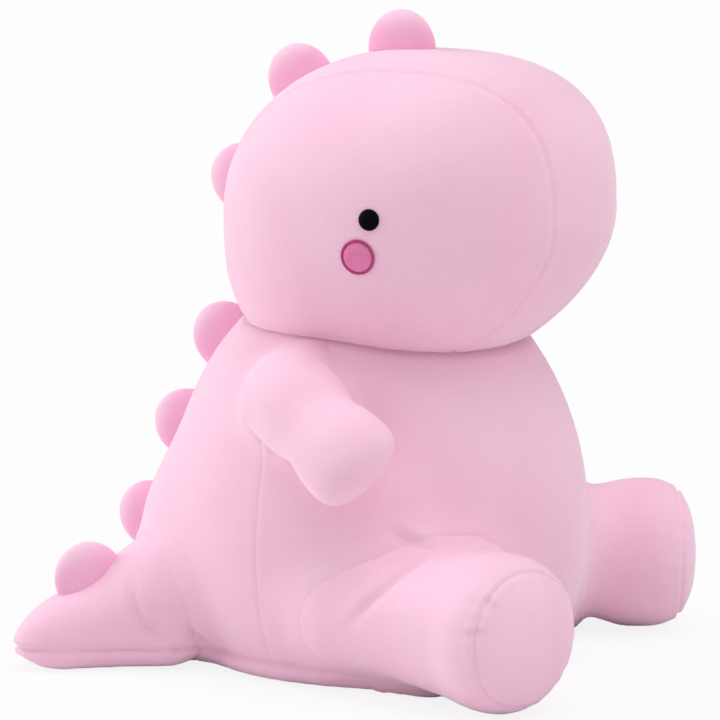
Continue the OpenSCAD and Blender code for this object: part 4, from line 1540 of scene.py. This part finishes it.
rump_spike = rump_mid + RUMP_R * np.array([0, math.cos(RUMP_SPIKE_RISE), math.sin(RUMP_SPIKE_RISE)])
tail_spike_turn = float(tail_turn(TAIL_SPIKE_AT))
tail_along = np.array([-math.sin(tail_spike_turn), math.cos(tail_spike_turn), 0])
tail_fall = math.atan((tail_blend_r - TAIL_TIP_R) * 2 / (TAIL_L - TAIL_BLEND))
tail_up = math.sin(tail_fall) * tail_along + math.cos(tail_fall) * UP
tail_top = tail_centre(TAIL_SPIKE_AT) + float(tail_full(TAIL_SPIKE_AT)) * UP

SPIKES = {}
for key, angle in HEAD_SPIKES.items():
    along = FORWARD if key == "front" else UP
    SPIKES["head_spike_" + key] = (ridge_point(angle), ridge_normal(angle), along, "head")
for key, drop in (("nape", NAPE_SPIKE_DROP), ("middle", BACK_SPIKE_DROP)):
    z = neck_top_z - drop
    SPIKES["back_spike_" + key] = (torso_point(z, SPIKE_SEAM), torso_normal(z, SPIKE_SEAM), UP, "torso")
SPIKES["back_spike_rump"] = (rump_spike, unit(rump_spike - rump_mid), UP, "torso")
SPIKES["tail_spike"] = (tail_top, tail_up, tail_along, "tail")
for name, (place, normal, along, body) in SPIKES.items():
    piece = spike_piece(name + "_cloth", place, normal, along, 0)
    refine(piece)
    # Painted highlight: its share grows with the height on the spike
    height = (points_of(piece) - place) @ unit(normal) / SPIKE_H
    painted_highlight_share = piece.data.attributes.new(PAINTED_HIGHLIGHT_ATTRIBUTE, "FLOAT", "POINT")
    painted_highlight_share.data.foreach_set("value", HIGHLIGHT_STRENGTH * ease((height - HIGHLIGHT_FROM) / HIGHLIGHT_SPAN))
    finished(piece, spike_fabric, name)
    core = spike_piece(name + "_fibre", place, normal, along, SPIKE_CORE_INSET)
    finished(core, stuffing, SPIKE_FILLINGS[body])
    for part in (piece, core):
        if body == "tail":
            carried(part, body)
        else:
            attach(part, body)

# Eyes and cheeks: round pieces turned about their own middle, with a foot that is drawn in under the edge
ROUND_SIDES = 64
DOME_STEPS = 10
FOOT_IN = 0.9
EDGE_IN = 0.98
EDGE_DROP = 0.3
EYE_FOOT = 2.5
CHEEK_DOME = 2.6
CHEEK_FOOT = 2
CHEEK_EDGE = 1.6

# Close stitches round a cheek, in a dark colour that is partly the thread's own and partly painted shade of
# the groove round the patch: a thread that is thinner between two stitches and wider than high
STITCHES = 44
STITCH_STEPS = 6
THREAD_R = 0.95
THREAD_SIDES = 10
THREAD_THIN = 0.72
THREAD_WIDE = 1.25
THREAD_LIFT = 0.35


def turned(name, outline, place, normal):
    """A closed round piece from its outline, a list of radius and height from the rim to the top."""
    turns = turns_of(ROUND_SIDES)
    rings = []
    for r, h in outline[:-1]:
        rings.append(np.stack([r * np.cos(turns), r * np.sin(turns), np.full(ROUND_SIDES, h)], -1))
    points = np.concatenate(rings + [[outline[0][1] * UP, outline[-1][1] * UP]])
    faces, _ = tube_faces(len(rings), ROUND_SIDES)
    faces += fan_faces(0, ROUND_SIDES, len(points) - 2)
    faces += fan_faces((len(rings) - 1) * ROUND_SIDES, ROUND_SIDES, len(points) - 1)
    return new_cover(name, stood(points, place, normal, UP), faces)


def dome(radius, rise, foot):
    outline = [(radius * FOOT_IN, -foot), (radius * EDGE_IN, -foot * EDGE_DROP)]
    for i in range(DOME_STEPS + 1):
        turn = math.pi / 2 * i / DOME_STEPS
        outline.append((radius * math.cos(turn), rise * math.sin(turn)))
    return outline


def stitched_ring(name, place, normal):
    """A ring of close stitches round a cheek, lying on the face, whose dark colour is partly painted shade
    of the groove round the patch.
    """
    around = turns_of(THREAD_SIDES)
    rings = []
    for turn in turns_of(STITCHES * STITCH_STEPS):
        full = abs(math.sin(STITCHES * turn / 2))
        thread_r = THREAD_R * (THREAD_THIN + (1 - THREAD_THIN) * full)
        r = CHEEK_R - CHEEK_EDGE / 2 + THREAD_WIDE * thread_r * np.cos(around)
        rise = THREAD_LIFT + thread_r * np.sin(around)
        rings.append(np.stack([r * math.cos(turn), r * math.sin(turn), rise], -1))
    points = np.concatenate(rings)
    faces, _ = tube_faces(len(rings) + 1, THREAD_SIDES)
    faces = [tuple(index % len(points) for index in face) for face in faces]
    return new_cover(name, stood(points, place, normal, UP), faces)


for side in ("right", "left"):
    placed = mirrored if side == "left" else as_drawn
    blush = (placed(blush_point), placed(blush_normal))
    button = dome(EYE_R, EYE_DOME, EYE_FOOT)
    eye = turned("eye_" + side + "_button", button, placed(eye_point), placed(eye_normal))
    finished(eye, eye_plastic, "eye_" + side)
    patch = turned("cheek_" + side + "_patch", dome(CHEEK_R - CHEEK_EDGE, CHEEK_DOME, CHEEK_FOOT), *blush)
    finished(patch, cheek_fabric, "cheek_" + side)
    # The dark stitched ring is partly painted shade of the groove round the patch
    edge = stitched_ring("cheek_" + side + "_stitching_and_groove_shade", *blush)
    finished(edge, cheek_thread)
    for piece in (eye, patch, edge):
        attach(piece, "head")
    finished(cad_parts["eye_washer_" + side], washer_plastic)

# Stage: white floor, soft light and the photograph's view
FLOOR_HALF = 30.0
PAPER_COLOUR = (0.85, 0.85, 0.85, 1)
PAPER_WHITE = 0.86
ROOM_COLOUR = (1, 0.86, 0.92, 1)
ROOM_STRENGTH = 0.43
WHITE = (1, 1, 1, 1)

floor_mesh = bpy.data.meshes.new("floor")
floor_corners = [(x * FLOOR_HALF, y * FLOOR_HALF, 0) for x, y in ((-1, -1), (1, -1), (1, 1), (-1, 1))]
floor_mesh.from_pydata(floor_corners, [], [(0, 1, 2, 3)])
floor = in_scene("floor", floor_mesh)


def paper_material():
    """White paper, which the camera sees mostly as white and a little as lit, with the shadow on it."""
    paper = bpy.data.materials.new("white_paper")
    tree = blank_tree(paper)
    output = add(tree, "ShaderNodeOutputMaterial", 600, 0)
    path = add(tree, "ShaderNodeLightPath", -400, 200)
    seen = add(tree, "ShaderNodeMath", 0, 200, {1: PAPER_WHITE}, operation="MULTIPLY")
    lit = add(tree, "ShaderNodeBsdfDiffuse", 0, 0, {"Color": PAPER_COLOUR})
    white = add(tree, "ShaderNodeEmission", 0, -150)
    choice = add(tree, "ShaderNodeMixShader", 300, 0)
    wire(tree, (path, "Is Camera Ray", seen, 0), (seen, "Value", choice, "Fac"))
    wire(tree, (lit, "BSDF", choice, 1), (white, "Emission", choice, 2))
    wire(tree, (choice, "Shader", output, "Surface"))
    return paper


floor_mesh.materials.append(paper_material())

VIEW_TURN = math.radians(66)
VIEW_RISE = math.radians(9.7)
VIEW_DISTANCE = 3200
VIEW_TARGET = np.array([-7.7, 11.7, 226.4])
VIEW_END = 200
FOCAL_PX = 4160
PHOTO_PX = 720
SENSOR_MM = 36
view_right = np.array([math.cos(VIEW_TURN), -math.sin(VIEW_TURN), 0])
toward_camera = math.cos(VIEW_RISE) * facing(VIEW_TURN) + math.sin(VIEW_RISE) * UP


def looking(direction):
    """Rotation of a camera or lamp that points along a direction."""
    return Vector(direction).to_track_quat("-Z", "Y").to_euler()


camera_data = bpy.data.cameras.new("camera")
camera_data.sensor_width = SENSOR_MM
camera_data.sensor_height = SENSOR_MM
camera_data.lens = FOCAL_PX / PHOTO_PX * SENSOR_MM
camera_data.clip_end = VIEW_END
camera = in_scene("camera", camera_data)
camera.location = metres(VIEW_TARGET + VIEW_DISTANCE * toward_camera)
camera.rotation_euler = looking(-toward_camera)
bpy.context.scene.camera = camera

# Broad lamps: how far to the right, up and towards the camera they stand in the view, and their strength
LAMPS = {
    "side": (-1, 0.35, -0.25, 1.5),
    "top": (0, 1, 0, 0.95),
    "front": (0.5, 0.9, 0.3, 0.82),
}
LAMP_SPREAD = math.radians(50)
for name, (aside, upward, toward, strength) in LAMPS.items():
    lamp_data = bpy.data.lights.new(name, "SUN")
    lamp_data.energy = strength
    lamp_data.angle = LAMP_SPREAD
    lamp = in_scene(name, lamp_data)
    lamp.rotation_euler = looking(-unit(aside * view_right + upward * UP + toward * facing(VIEW_TURN)))


def studio_world():
    """Soft light from all round the object, and plain white where the camera looks past it."""
    world = bpy.data.worlds.new("studio")
    tree = blank_tree(world)
    output = add(tree, "ShaderNodeOutputWorld", 600, 0)
    path = add(tree, "ShaderNodeLightPath", -400, 200)
    seen = add(tree, "ShaderNodeMath", -200, 200, operation="MAXIMUM")
    seen_through = add(tree, "ShaderNodeMath", 0, 200, operation="MAXIMUM")
    room = add(tree, "ShaderNodeBackground", 0, 0, {"Color": ROOM_COLOUR, "Strength": ROOM_STRENGTH})
    white = add(tree, "ShaderNodeBackground", 0, -150, {"Color": WHITE, "Strength": 1})
    choice = add(tree, "ShaderNodeMixShader", 300, 0)
    wire(tree, (path, "Is Camera Ray", seen, 0), (path, "Is Glossy Ray", seen, 1))
    wire(tree, (seen, "Value", seen_through, 0), (path, "Is Transmission Ray", seen_through, 1))
    wire(tree, (seen_through, "Value", choice, "Fac"), (choice, "Shader", output, "Surface"))
    wire(tree, (room, "Background", choice, 1), (white, "Background", choice, 2))
    return world


bpy.context.scene.world = studio_world()
bpy.context.scene.view_settings.view_transform = "Standard"
